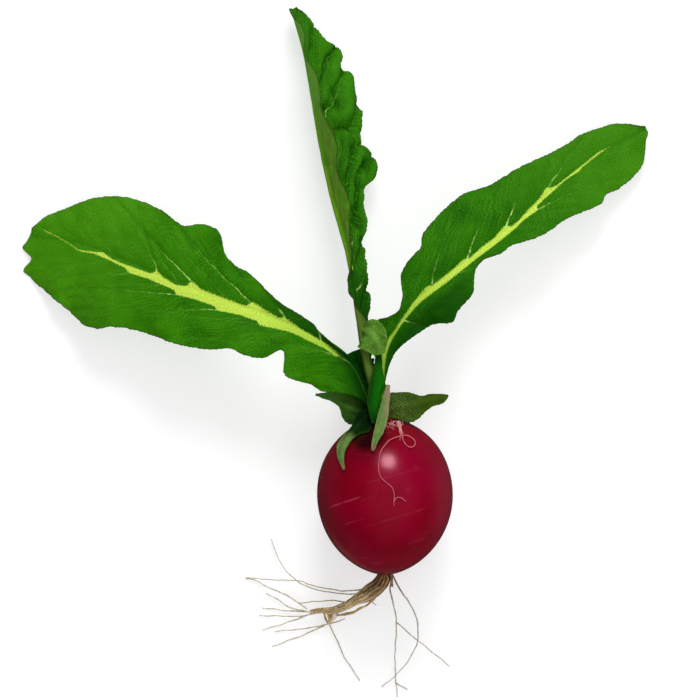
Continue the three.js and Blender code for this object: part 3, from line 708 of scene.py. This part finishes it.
class BladeFinish(Finish):
    """A finish laid out on a blade, in millimetres across it, along it and to its margin."""

    def __init__(self, name, roughness, specular):
        super().__init__(name, roughness, specular)
        place = self.signal("Attribute", output="Vector", attribute_name="blade")
        self.across, self.length, self.margin = self.parts(place)
        self.relief = self.signal("Attribute", output="Fac", attribute_name="relief")
        self.width = abs(self.across)
        self.sheet = self.flat(self.across, self.length)
        self.weave = self.weaving()
        self.speckle = self.grain(self.sheet, 0.32)

    def weaving(self):
        """A fine plain weave, as on cut cloth, from 0 to 1."""
        pitch = 1.2
        warp = (self.across + self.length * 0.5).wave(pitch)
        weft = (self.length - self.across * 0.5).wave(pitch)
        return warp * weft * 0.5 + 0.5

    def cross_threads(self):
        """Thin diagonal lines both ways, where the cloth's pale threads show, from 0 to 1."""
        spacing = 0.95
        runs = (self.across + self.length, self.across - self.length)
        lines = [abs(run.wave(2 * spacing)) for run in runs]
        return self.math("MINIMUM", *lines).between(0.5, 0.15)

    def whorls(self):
        """Fine curved lines that come and go, like the small veins between the side veins."""
        pitch = 1.25
        bend = self.grain(self.sheet, 9, detail=1) * 11
        lines = (self.length * 0.55 + self.across * 0.85 + bend).wave(pitch) * 0.5 + 0.5
        return lines * self.grain(self.sheet, 6, detail=1).between(0.4, 0.6)

    def veins(self, leaf):
        """How strongly the side veins show: thin broken lines that fade towards the margin."""
        wobble = (self.grain(self.sheet, 5) - 0.5) * 3.4
        broken = self.grain(self.sheet, 1.8).between(0.42, 0.6) * 0.8 + 0.2
        thick = self.width.between(6, 1) * 0.16 + 0.08
        to_margin = self.margin.between(0.5, 3) * 0.08
        on_left, on_right = self.across.between(0.01, -0.01), self.across.between(-0.01, 0.01)
        found = 0.0
        for veins, side in ((leaf.veins_left, on_left), (leaf.veins_right, on_right)):
            for start, lean, span, strength in veins:
                off = abs(self.length - start - self.width * lean + wobble) * (1 / math.hypot(1, lean))
                body = (thick - off).between(-0.1, 0.1)
                fade = self.width.between(span * 1.2, span * 0.4) * strength
                found = self.higher(found, body * self.higher(fade, to_margin) * side)
        return broken * found

    def midrib(self, leaf, rib, ragged, strokes):
        """The coats for a yellow midrib: a fine middle line, then what lies between its edges."""
        across, length = self.across, self.length
        left, right = ragged
        left_edge, right_edge = [self.edge(length, leaf.total, stops) for stops in rib]
        inside = self.math("MINIMUM", across - left_edge, right_edge - across)
        rough = across.between(-0.6, 0.4) * (right - left) + left
        rough_edge = (self.grain(self.sheet, 0.42) - 0.5) * rough
        flecks = self.grain(self.sheet, 0.42, detail=3).between(0.5, 0.34)
        by_foot = length.between(0.42 * leaf.total, 0.2 * leaf.total)
        by_stalk = length.between(36, 24) * 0.12 + 0.05
        yellow = self.blend(self.speckle.between(0.35, 0.65), ink(188, 222, 58), ink(222, 248, 108))
        yellow = self.layers(yellow, [
            (flecks * 0.5, (128, 178, 40)),
            (strokes * 0.3, (164, 204, 60)),
            (by_foot * 0.45, (112, 168, 36)),
        ])
        return [(self.width.between(0.2, 0.04) * by_stalk, (138, 186, 96)),
                ((inside + rough_edge).between(-0.16, 0.3), yellow)]


def upper_finish(name, leaf, tones, rib=None, ragged=(1, 2), shades=(), hatch=0.34):
    """The upper face: finely woven green with thin pale side veins, and a yellow midrib if it has one, whose
    left and right edges are as ragged as given. It is darker where a shade says: (across at its dark side, at
    its light side, length where it is dark, where it ends, strength)."""
    dark, plain, light = tones
    crease_shade, shadow, vein_green, margin_brown = (6, 54, 0), (6, 62, 0), (190, 230, 120), (62, 60, 30)
    paint = BladeFinish(name, roughness=0.6, specular=0.05)
    across, length, width, relief = paint.across, paint.length, paint.width, paint.relief
    patches = paint.grain(paint.sheet, 9, detail=3)
    strokes = paint.grain(paint.flat(length - width * 1.6, across * 0.12), 1.1)
    whorls = paint.whorls()
    toward_tip = length.between(0.5 * leaf.total, 0.94 * leaf.total)
    by_rib = width.between(9, 2) * patches.between(0.35, 0.6)
    edge = paint.margin.between(0.45, 0.05) * length.between(0.15 * leaf.total, 0.25 * leaf.total)
    coats = [
        (toward_tip * 0.73, light),
        # painted light on the bulges of the relief, and painted shade in its hollows and creases
        (relief.between(0.0, 0.9) * 0.5, light),
        (relief.between(0.0, -0.9) * 0.7, dark),
        (relief.between(-0.4, -1.1) * 0.8, crease_shade),
        (strokes.between(0.45, 0.75) * 0.3, light),
        (whorls * hatch, light),
        (paint.speckle.between(0.5, 0.62) * 0.5, light),
        (paint.speckle.between(0.5, 0.38) * 0.5, dark),
        (paint.weave * (by_rib * 0.45 + 0.25), dark),
    ]
    coats += [(across.between(side_light, side_dark) * length.between(far, near) * strength, shadow)
              for side_dark, side_light, near, far, strength in shades]
    coats.append((paint.veins(leaf), vein_green))
    if rib:
        coats += paint.midrib(leaf, rib, ragged, strokes)
    coats.append((edge * 0.5, margin_brown))
    paint.bump(paint.weave * 0.5 + (paint.speckle + whorls * (5 * hatch - 0.7)), 0.06)
    ground = paint.blend(patches.between(0.3, 0.7), ink(*dark), ink(*plain))
    return paint.coloured(paint.layers(ground, coats))


def under_finish(name, tones, drawn=0.35, rim=None, rim_width=0.5, parts=(), threads=0.0):
    """The underside: duller cloth, streaked along the leaf, with a paler strip over the midrib and a rim of
    its own. Pale threads cross it towards the stalk, as strongly as given. Each part painted over it is
    (across at its far side, at its near side, length where it is full, where it ends, tone)."""
    dull, pale, streak = tones
    paint = BladeFinish(name, roughness=0.7, specular=0.1)
    across, length = paint.across, paint.length
    patches = paint.grain(paint.sheet, 4, detail=3)
    streaks = paint.grain(paint.flat(across, length * 0.06), 1.1)
    ragged_margin = paint.margin + (patches - 0.5) * rim_width
    coats = [
        (streaks.between(0.5, 0.6) * drawn, streak),
        # painted light on the underside where the sheet bulges out
        (paint.relief.between(0.1, -0.5) * 0.4, pale),
        (paint.width.between(1.1, 0.4) * 0.4, pale),
        (ragged_margin.between(rim_width, 0.1) * 0.7, rim or pale),
        (paint.speckle.between(0.5, 0.62) * 0.55, pale),
        (paint.speckle.between(0.5, 0.38) * 0.55, dull),
        (paint.weave * 0.2, dull),
    ]
    if threads:
        shown = paint.grain(paint.sheet, 0.45).between(0.4, 0.6) * length.between(12, 4)
        coats.append((shown * paint.cross_threads() * threads, (146, 172, 104)))
    coats += [(across.between(side_near, side_far) * length.between(stop, start) * 0.97, tone)
              for side_far, side_near, start, stop, tone in parts]
    paint.bump(paint.weave + paint.speckle, 0.06)
    ground = paint.blend(patches.between(0.32, 0.68), ink(*dull), ink(*pale))
    return paint.coloured(paint.layers(ground, coats))


def right_across(start, stop, what):
    """A part or a shade right across a leaf, to 10 mm on its left: full at one length and gone at another."""
    return (-10, -20, start, stop, what)


# Tones of an upper face: dark, plain, light. Of an underside: dull, pale, streak.
GREEN = ((26, 96, 0), (50, 128, 0), (84, 162, 18))
FAR_GREEN = ((20, 88, 0), (42, 118, 2), (80, 156, 22))
SHADED_GREEN = ((6, 64, 0), (30, 100, 0), (68, 146, 16))
DEEP_GREEN = ((2, 70, 0), (14, 112, 2), (36, 136, 8))
DARK_GREEN = ((4, 52, 0), (10, 74, 2), (22, 92, 6))
OLIVE = ((80, 150, 8), (118, 186, 34), (156, 130, 62))
GREY_GREEN = ((34, 66, 8), (72, 100, 34), (60, 80, 20))
DARK_OLIVE = ((26, 76, 6), (64, 108, 30), (86, 80, 34))
WOVEN_GREEN = ((34, 66, 2), (66, 92, 16), (60, 76, 10))
PALE_GREEN = ((50, 92, 22), (120, 150, 82), (104, 120, 60))
LIGHT_GREEN = ((54, 106, 12), (116, 162, 62), (82, 126, 34))
RIM_GREEN = (30, 100, 0)
DRY_BROWN = (146, 112, 88)


def leaves():
    olive = under_finish("leaf underside", OLIVE, drawn=0.6, rim=RIM_GREEN, rim_width=2)
    strip = under_finish(
        "leaf_middle underside", OLIVE, drawn=0.6, rim=RIM_GREEN, rim_width=1.6,
        # The first part is painted light on the strip's top, which faces away from the lamps; the last is
        # painted shade towards the crown.
        parts=[right_across(104, 82, (112, 186, 44)), right_across(30, 42, (82, 108, 36)),
               right_across(6, 15, (34, 70, 10))])
    grey = under_finish("small leaf underside", GREY_GREEN)
    woven = under_finish("small leaf right underside", WOVEN_GREEN, threads=0.5)
    dark = under_finish("dark small leaf underside", DARK_OLIVE,
                        # the first part is painted shade at its base by the crown
                        parts=[right_across(2, 8, (22, 58, 8)), right_across(15, 8, (74, 122, 44))])
    shaded = under_finish("upright small leaf underside", DARK_GREEN)
    folded = under_finish(
        "folded small leaf underside", PALE_GREEN,
        parts=[right_across(2, 6, (140, 126, 90)), (0.6, -0.2, 7, 11, (146, 128, 94)),
               (1.3, 0.9, 10, 30, (136, 134, 92)), right_across(21.5, 19.4, DRY_BROWN)])
    curled = under_finish(
        "curled small leaf underside", PALE_GREEN,
        # the first two parts are painted shade at its base by the crown
        parts=[right_across(9, 12.5, (3, 42, 0)), right_across(4, 8, (0, 26, 0)),
               right_across(22.4, 20.2, DRY_BROWN)])
    fresh = under_finish("leaflet underside", LIGHT_GREEN)
    young = upper_finish("small leaf upper face", SMALL_UNDER, DEEP_GREEN)
    hidden = upper_finish("back small leaf upper face", SMALL_BACK, DARK_GREEN)
    upright = upper_finish("upright small leaf upper face", SMALL_UPRIGHT, DEEP_GREEN,
                           shades=[(-1.6, 0.4, 60, 80, 0.97), (10, 20, 20, 13, 0.8), (10, 20, 1, 6, 0.85)])
    left = upper_finish("leaf_left upper face", LEFT_LEAF, GREEN, LEFT_RIB,
                        shades=[(0.6, -0.4, 26, 60, 0.85), (-1, -9, 10, 28, 0.7), right_across(4, 12, 0.6),
                                (-0.6, -2.8, 16, 26, 0.8)])
    right = upper_finish("leaf_right upper face", RIGHT_LEAF, FAR_GREEN, RIGHT_RIB, ragged=(1.4, 0.8),
                         shades=[(2, -1, 20, 56, 0.6), (5, 1.5, 48, 60, 0.7)])
    middle = upper_finish("leaf_middle upper face", MIDDLE_LEAF, SHADED_GREEN, MIDDLE_RIB,
                          shades=[right_across(38, 48, 0.6)], hatch=0.6)
    blade(LEFT_LEAF, [left, olive], "blade", "leaf_left")
    blade(RIGHT_LEAF, [right, olive], "blade", "leaf_right")
    blade(MIDDLE_LEAF, [middle, strip], "blade", "leaf_middle")
    blade(LEAFLET, [young, fresh], "blade")
    for leaf, upper, under in (
        (SMALL_RIGHT, young, woven), (SMALL_LEFT, young, dark), (SMALL_LOWER_LEFT, young, curled),
        (SMALL_FRONT, young, folded), (SMALL_UPRIGHT, upright, shaded), (SMALL_BACK, hidden, grey),
        (SMALL_UNDER, young, grey),
    ):
        blade(leaf, [upper, under], "young_blade", leaf.name.removesuffix("_blade"))


# ---------------------------------------------------------------- roots and hairs
CORE_START, FIBRE_START = (-0.3, -22.4, 20.5), (-0.4, -22.6, 20.4)  # inside the bulb's tip
TAIL = [
    (-0.2, -24, 20.2), (-1.5, -26.6, 19), (-3.6, -28.4, 16.6), (-6, -30.2, 13.8), (-9.1, -32, 10.6),
    (-12.6, -33.9, 7.6), (-16, -35, 5), (-19.5, -35, 3.6), (-22.8, -35.2, 2.6)]
TAIL_GIRTH = [(0, 1.9), (0.25, 2.4), (0.38, 2), (0.5, 1.4), (0.65, 1.05), (0.8, 0.85), (1, 0.4)]
LOWER_STRAND = [
    (-2.2, -28.4, 17), (-3.2, -31, 14), (-5, -33, 11.4), (-7.4, -34.4, 9.2), (-10.4, -35.8, 7.2),
    (-14.6, -36.4, 5.4)]
WEB_TOP, WEB_FOOT = [(-19, -35.4, 4.2), (-13.2, -35, 5.4)], (-16.9, -39.3, 1.8)
TAIL_ROOTLETS = [
    [(-5.4, -28.6, 14.6), (-9.2, -29.8, 12), (-12.9, -29.9, 10), (-17.7, -29.3, 8), (-22.8, -27.9, 6),
     (-27, -25.8, 4.2), (-31.4, -20.6, 2.4), (-34.3, -13.4, 0.4)],
    [(-5.4, -28, 15), (-9.2, -28.8, 12.6), (-13.6, -28.9, 10.4), (-18.2, -28.2, 8), (-22.6, -27.1, 6),
     (-26.4, -26.1, 4.4), (-34.5, -25.7, 2), (-42, -25.3, 0.4)],
    [(-23.4, -34.6, 3), (-27.2, -32, 2.6), (-31.6, -29.5, 2), (-34.5, -28.5, 1.4), (-38.7, -26.2, 0.8),
     (-42, -25.4, 0.4)],
    [(-23.4, -35.4, 2.6), (-28.5, -34.2, 1.4), (-32.1, -32, 0.8), (-35.9, -29.9, 0.3)],
    [(-21.8, -35.5, 3), (-27.4, -35.4, 1.2), (-32.6, -34.8, 0.5), (-37.1, -34.4, 0.3)],
    [(-20.4, -35.8, 3.4), (-25.5, -36.8, 1.6), (-31, -36.8, 0.6), (-37.8, -36.7, 0.3)],
    [(-22, -35.9, 2.8), (-27, -37.9, 1.2), (-31.8, -39.5, 0.5), (-36.8, -41, 0.3)],
    [(-16.9, -39.1, 1.9), (-20.7, -39.9, 1.2), (-26.7, -40.8, 0.5), (-33.4, -41.4, 0.3)],
    [(-17, -38.4, 2.4), (-14.8, -43.4, 1), (-12.2, -49, 0.4), (-7.5, -56.3, 0.3)],
    [(-17.1, -39.1, 2), (-14.6, -38.6, 1.6), (-12, -37.5, 1.6)],
    [(-18.2, -39.6, 1.6), (-23.7, -42, 0.6), (-29, -44.2, 0.3), (-34.2, -46.1, 0.3)],
    [(-12, -32.4, 8.4), (-15.4, -31.9, 6.6), (-20, -32.2, 4.6), (-26, -32.9, 2.4)],
    [(-4.4, -30.6, 14.4), (-3.6, -32.4, 13.4), (-2.6, -33.4, 12.8)],
]
SIDE_START = (1.8, -22.6, 20.6)
SIDE_STUB = [(1.6, -22.4, 20.4), (2, -25.2, 20), (2.2, -27.6, 18.2)]
RIGHT_STRANDS = [
    [(2.2, -24.2, 20.2), (1.5, -28, 17.6), (2.4, -32.1, 13.6), (3.4, -37.5, 9.4), (3.3, -43.5, 5.6),
     (3.1, -49.5, 2.6), (3.2, -55, 0.9), (3.8, -61.3, 0.3)],
    [(2.4, -24.2, 20.2), (4.5, -28.5, 17.6), (7.5, -32.7, 14.2), (9.6, -37.5, 10.6), (10, -42, 7.6),
     (9.2, -46.5, 5), (6.2, -51.2, 2.4), (2.7, -55.2, 1.2), (-0.9, -58.1, 0.3)],
]
RIGHT_BRANCHES = [
    [(3.4, -38.4, 8.8), (9.9, -44, 4.2), (15.9, -48.9, 1.6), (19.5, -51.9, 0.3)],
    [(3.2, -56.7, 0.6), (5, -57.9, 0.3), (6.9, -59, 0.3)],
]
# The loose hair's x, y over the bulb, and how clear it stands of the skin.
HAIR_PATH = [
    (4, 22.3), (4.7, 20), (5, 17.5), (6, 15.5), (7.5, 14.5), (8.8, 15), (8.9, 16.3), (7.7, 17.5), (6, 18),
    (3.5, 17.5), (1, 16.3), (-1, 13.7), (-1.9, 10.5), (-1.9, 7.5), (-1.3, 5.5), (0.2, 4.1), (2, 2.5),
    (2.6, 0.5), (2.6, -1.5), (2.6, -3)]
HAIR_FORK = [(2.8, -1.3), (3.5, -0.5), (4.7, -0.5), (6.2, -1.7)]
HAIR_CLEARANCE = [(0, 1.2), (0.12, 0.5), (0.25, 1.1), (0.45, 1), (0.55, 0.35), (1, 0.35)]


def strands(name, paths, finishes, slot, *nodes):
    """Round strands along paths of (point, radius) pairs, made one mesh; the finishes take turns."""
    curve = bpy.data.curves.new(name, "CURVE")
    curve.dimensions = "3D"
    curve.bevel_depth = 1
    curve.bevel_resolution = 1
    curve.use_fill_caps = True
    for finish in finishes:
        curve.materials.append(finish)
    for number, path in enumerate(paths):
        spline = curve.splines.new("POLY")
        spline.material_index = number % len(finishes)
        spline.points.add(len(path) - 1)
        for knot, (point, radius) in zip(spline.points, path):
            knot.co = (*point, 1)
            knot.radius = radius
    holder = bpy.data.objects.new(name, curve)
    mesh = bpy.data.meshes.new_from_object(holder)
    bpy.data.objects.remove(holder)
    bpy.data.curves.remove(curve)
    finished(name, mesh, [], slot, *nodes)


def hair(points, thick, thin, chance, crook=0.25):
    """A strand through points that thins to its tip and wanders a little, as roots do."""
    steps = 6 * len(points)
    shift = Vector([chance.uniform(0, 50) for _ in range(3)])
    path = []
    for i in range(steps + 1):
        t = i / steps
        point = along(points, t)
        wander = Vector([noise.noise(point / 3 + shift + Vector((7 * k, 0, 0))) for k in range(3)])
        point += wander * crook * min(4 * t, 1)
        radius = mix(thick, thin, t)
        point.z = max(point.z, radius)
        path.append((point, radius))
    return path


def tail_fibre(chance):
    """One fibre of the bundle: it runs with the tail for a while, then stops in it."""
    steps = 40
    wander = 0.3
    turn = chance.uniform(0, math.tau)
    spread = chance.uniform(0.3, 1.0) ** 0.5
    twist = chance.uniform(-0.4, 0.4)
    stop = chance.uniform(0.6, 1.0)
    thick = chance.uniform(0.2, 0.42)
    shift = chance.uniform(0, 50)
    path = [(Vector(FIBRE_START), thick)]
    for i in range(steps + 1):
        t = stop * i / steps
        forward = ahead(TAIL, t)
        aside = forward.cross(Vector((0, 0, 1))).normalized()
        above = aside.cross(forward)
        angle = turn + twist * t
        girth = graded(TAIL_GIRTH, t) * spread
        point = along(TAIL, t) + (aside * math.cos(angle) + above * math.sin(angle)) * girth
        point += wander * Vector([noise.noise(Vector((t * 7, shift, 3.0 * k))) for k in range(3)])
        point.z = max(point.z, thick)
        path.append((point, mix(thick, 0.5 * thick, i / steps)))
    return path


def web_fibre(chance):
    """One of the fibres that gather below the bundle into a single rootlet."""
    top = Vector(WEB_TOP[0]).lerp(Vector(WEB_TOP[1]), chance.random())
    foot = Vector(WEB_FOOT)
    middle = top.lerp(foot, 0.6) + Vector((chance.uniform(-0.5, 0.5), 0.2, 0))
    return hair([top + Vector((0, 1.2, 0.8)), middle, foot], 0.2, 0.13, chance, crook=0.3)


# Roots: (dark, light) by the bulb, then (dark, light) further out.
ROOT_TONES = {
    "root fibre pale": (((150, 114, 78), (182, 146, 106)), ((230, 208, 160), (250, 236, 196))),
    "root fibre brown": (((80, 52, 34), (114, 78, 52)), ((186, 152, 104), (214, 184, 130))),
    "root fibre tan": (((122, 86, 58), (156, 116, 80)), ((214, 188, 136), (238, 216, 168))),
    "root fibre dark": (((54, 34, 22), (84, 56, 38)), ((156, 124, 84), (188, 156, 108))),
    "rootlets": (((124, 102, 80), (166, 146, 120)), ((190, 174, 138), (226, 212, 176))),
    "side root": (((116, 90, 72), (172, 148, 124)), ((180, 170, 152), (226, 218, 202))),
}


def root_finish(name):
    """Brown or grey at the bulb, then lighter, then palest in the finest hairs."""
    paint = Finish(name, roughness=0.75, specular=0.2)
    place = paint.place()
    away = paint.signal("VectorMath", place, (0, -TAPER, AXIS), output="Value", operation="DISTANCE")
    streak = paint.grain(place, 1.2, detail=3).between(0.34, 0.66)
    near, middle = [paint.blend(streak, ink(*dark), ink(*light)) for dark, light in ROOT_TONES[name]]
    far = paint.blend(streak, ink(184, 174, 150), ink(228, 220, 198))
    paint.bump(paint.grain(place, 0.25), 0.05)
    return paint.coloured(paint.layers(near, [(away.between(2, 14), middle), (away.between(27, 36), far)]))


def hair_finish():
    """Deep pink where it lies on the bulb, lighter in the loop, and pale in the tuft at the crown."""
    paint = Finish("pink hair", roughness=0.5, specular=0.3)
    place = paint.place()
    y = paint.parts(place)[1]
    tone = paint.grain(place, 1.2)
    thread = paint.blend(tone, ink(186, 58, 88), ink(226, 112, 136))
    loop = paint.blend(tone, ink(196, 78, 92), ink(224, 128, 132))
    tuft = paint.blend(tone, ink(228, 132, 132), ink(250, 204, 194))
    return paint.coloured(paint.layers(thread, [(y.between(11, 15), loop), (y.between(18, 20), tuft)]))


def roots():
    chance = random.Random(31)
    finishes = [root_finish("root fibre " + name) for name in ("pale", "brown", "tan", "dark")]
    steps = 24
    core = [(Vector(CORE_START), 1.0)]
    core += [(along(TAIL, i / steps), 0.7 * graded(TAIL_GIRTH, i / steps)) for i in range(steps + 1)]
    fibres = [tail_fibre(chance) for _ in range(60)]
    lower = [hair(LOWER_STRAND, thick, 0.2, chance, crook=0.6) for thick in (0.42, 0.34, 0.26)]
    web = [web_fibre(chance) for _ in range(15)]
    rootlets = [hair(points, 0.22, 0.14, chance) for points in TAIL_ROOTLETS]
    strands("tap_root_fibres", [core] + fibres + lower + web, finishes, "root", "tap_root")
    strands("tap_root_rootlets", rootlets, [root_finish("rootlets")], "root")
    side = [hair([SIDE_START] + points, 0.28, 0.14, chance) for points in RIGHT_STRANDS]
    side += [hair(points, 0.2, 0.14, chance) for points in RIGHT_BRANCHES]
    side.append(hair(SIDE_STUB, 0.6, 0.3, chance, crook=0.1))
    strands("side_root_strands", side, [root_finish("side root")], "root", "side_root")


def loose_hair():
    """The long hair that loops over the bulb, its fork, and the tuft of short ones that it grows from."""
    chance = random.Random(5)
    last = len(HAIR_PATH) - 1
    path = [over_skin(x, y, graded(HAIR_CLEARANCE, i / last)) for i, (x, y) in enumerate(HAIR_PATH)]
    fork = [over_skin(x, y, 0.4) for x, y in HAIR_FORK]
    made = [hair(path, 0.16, 0.15, chance, crook=0.12), hair(fork, 0.15, 0.12, chance, crook=0.1)]
    for _ in range(9):
        x = chance.uniform(3.4, 5.4)
        top = over_skin(x, 22.2, 0.8)
        middle = over_skin(mix(x, 4.6, 0.6), 20, 0.5)
        low = over_skin(chance.uniform(4.4, 5.6), chance.uniform(16.4, 19), 0.3)
        made.append(hair([top, middle, low], 0.14, 0.08, chance, crook=0.5))
    for _ in range(12):
        x, y = chance.uniform(-0.6, 4.4), chance.uniform(21.6, 22.4)
        bent = over_skin(x + chance.uniform(-0.8, 0.8), y - 0.8, 0.5)
        low = over_skin(x + chance.uniform(-1.2, 1.2), y - chance.uniform(1, 2.2), 0.2)
        made.append(hair([over_skin(x, y, 0.4), bent, low], 0.1, 0.06, chance, crook=0.4))
    strands("loose_hair_strands", made, [hair_finish()], "fibre", "loose_hair")


# ---------------------------------------------------------------- stage, lamps and camera
def floor():
    """A white floor that keeps a soft shadow, and isn't mirrored in the skin."""
    half_size, just_under = 3, -0.0002
    lit, seen_as, glow = (0.5, 0.5, 0.5, 1.0), (0.9, 0.9, 0.9, 1.0), 0.6
    bm = bmesh.new()
    bmesh.ops.create_grid(bm, x_segments=1, y_segments=1, size=half_size)
    mesh = to_mesh(bm, "floor")
    paint = Finish("floor", roughness=0.9, specular=0.0)
    seen = paint.signal("LightPath", output="Is Camera Ray")
    mesh.materials.append(paint.coloured(paint.blend(seen, seen_as, lit)))
    paint.even({"Emission Color": (1, 1, 1, 1)})
    paint.feed(paint.shader.inputs["Emission Strength"], seen * glow)
    surface = into_scene("floor", mesh)
    surface.location.z = just_under
    surface.visible_glossy = False


def backdrop():
    """White where the camera sees past the floor, dim in the skin's gloss, and no light of its own."""
    in_gloss = 0.035
    world = bpy.data.worlds.new("backdrop")
    bpy.context.scene.world = world
    world.use_nodes = True
    nodes, links = world.node_tree.nodes, world.node_tree.links
    path = nodes.new("ShaderNodeLightPath")
    strength = nodes.new("ShaderNodeMath")
    strength.operation = "MULTIPLY_ADD"
    strength.inputs[1].default_value = in_gloss
    links.new(path.outputs["Is Glossy Ray"], strength.inputs[0])
    links.new(path.outputs["Is Camera Ray"], strength.inputs[2])
    links.new(strength.outputs[0], nodes["Background"].inputs["Strength"])
    nodes["Background"].inputs["Color"].default_value = (1, 1, 1, 1)


def lamp(name, place, size, power, glossy=False):
    light = bpy.data.lights.new(name, "AREA")
    light.shape = "DISK"
    light.size = size
    light.energy = power
    made = into_scene(name, light)
    made.location = place
    made.rotation_euler = (Vector((0, 0, 0)) - Vector(place)).to_track_quat("-Z", "Y").to_euler()
    made.visible_camera = False
    made.visible_glossy = glossy


def lamps():
    lamp("overhead", (0.3, -0.05, 1.6), 3.0, 25.5)
    lamp("front", (0.1, -1.4, 0.9), 1.0, 4)
    lamp("side", (0.6, 0.95, 1.0), 0.4, 1)
    lamp("window", (0.1, 1.02, 0.95), 0.52, 10, glossy=True)


def camera():
    """Looks straight down on the radish, leaves away, from far off."""
    distance = 3.5
    view_width = 0.21
    aim = Vector((-10.5, 43.5, AXIS))
    lens = bpy.data.cameras.new("camera")
    lens.sensor_width = 36
    lens.lens = lens.sensor_width * distance / view_width
    lens.clip_end = 20
    made = into_scene("camera", lens)
    made.location = ORIGIN + aim * MM + Vector((0, 0, distance))
    bpy.context.scene.camera = made


# ---------------------------------------------------------------- everything together
bpy.context.scene.view_settings.view_transform = "Standard"
camera()
backdrop()
lamps()
floor()
bulb()
leaves()
roots()
loose_hair()
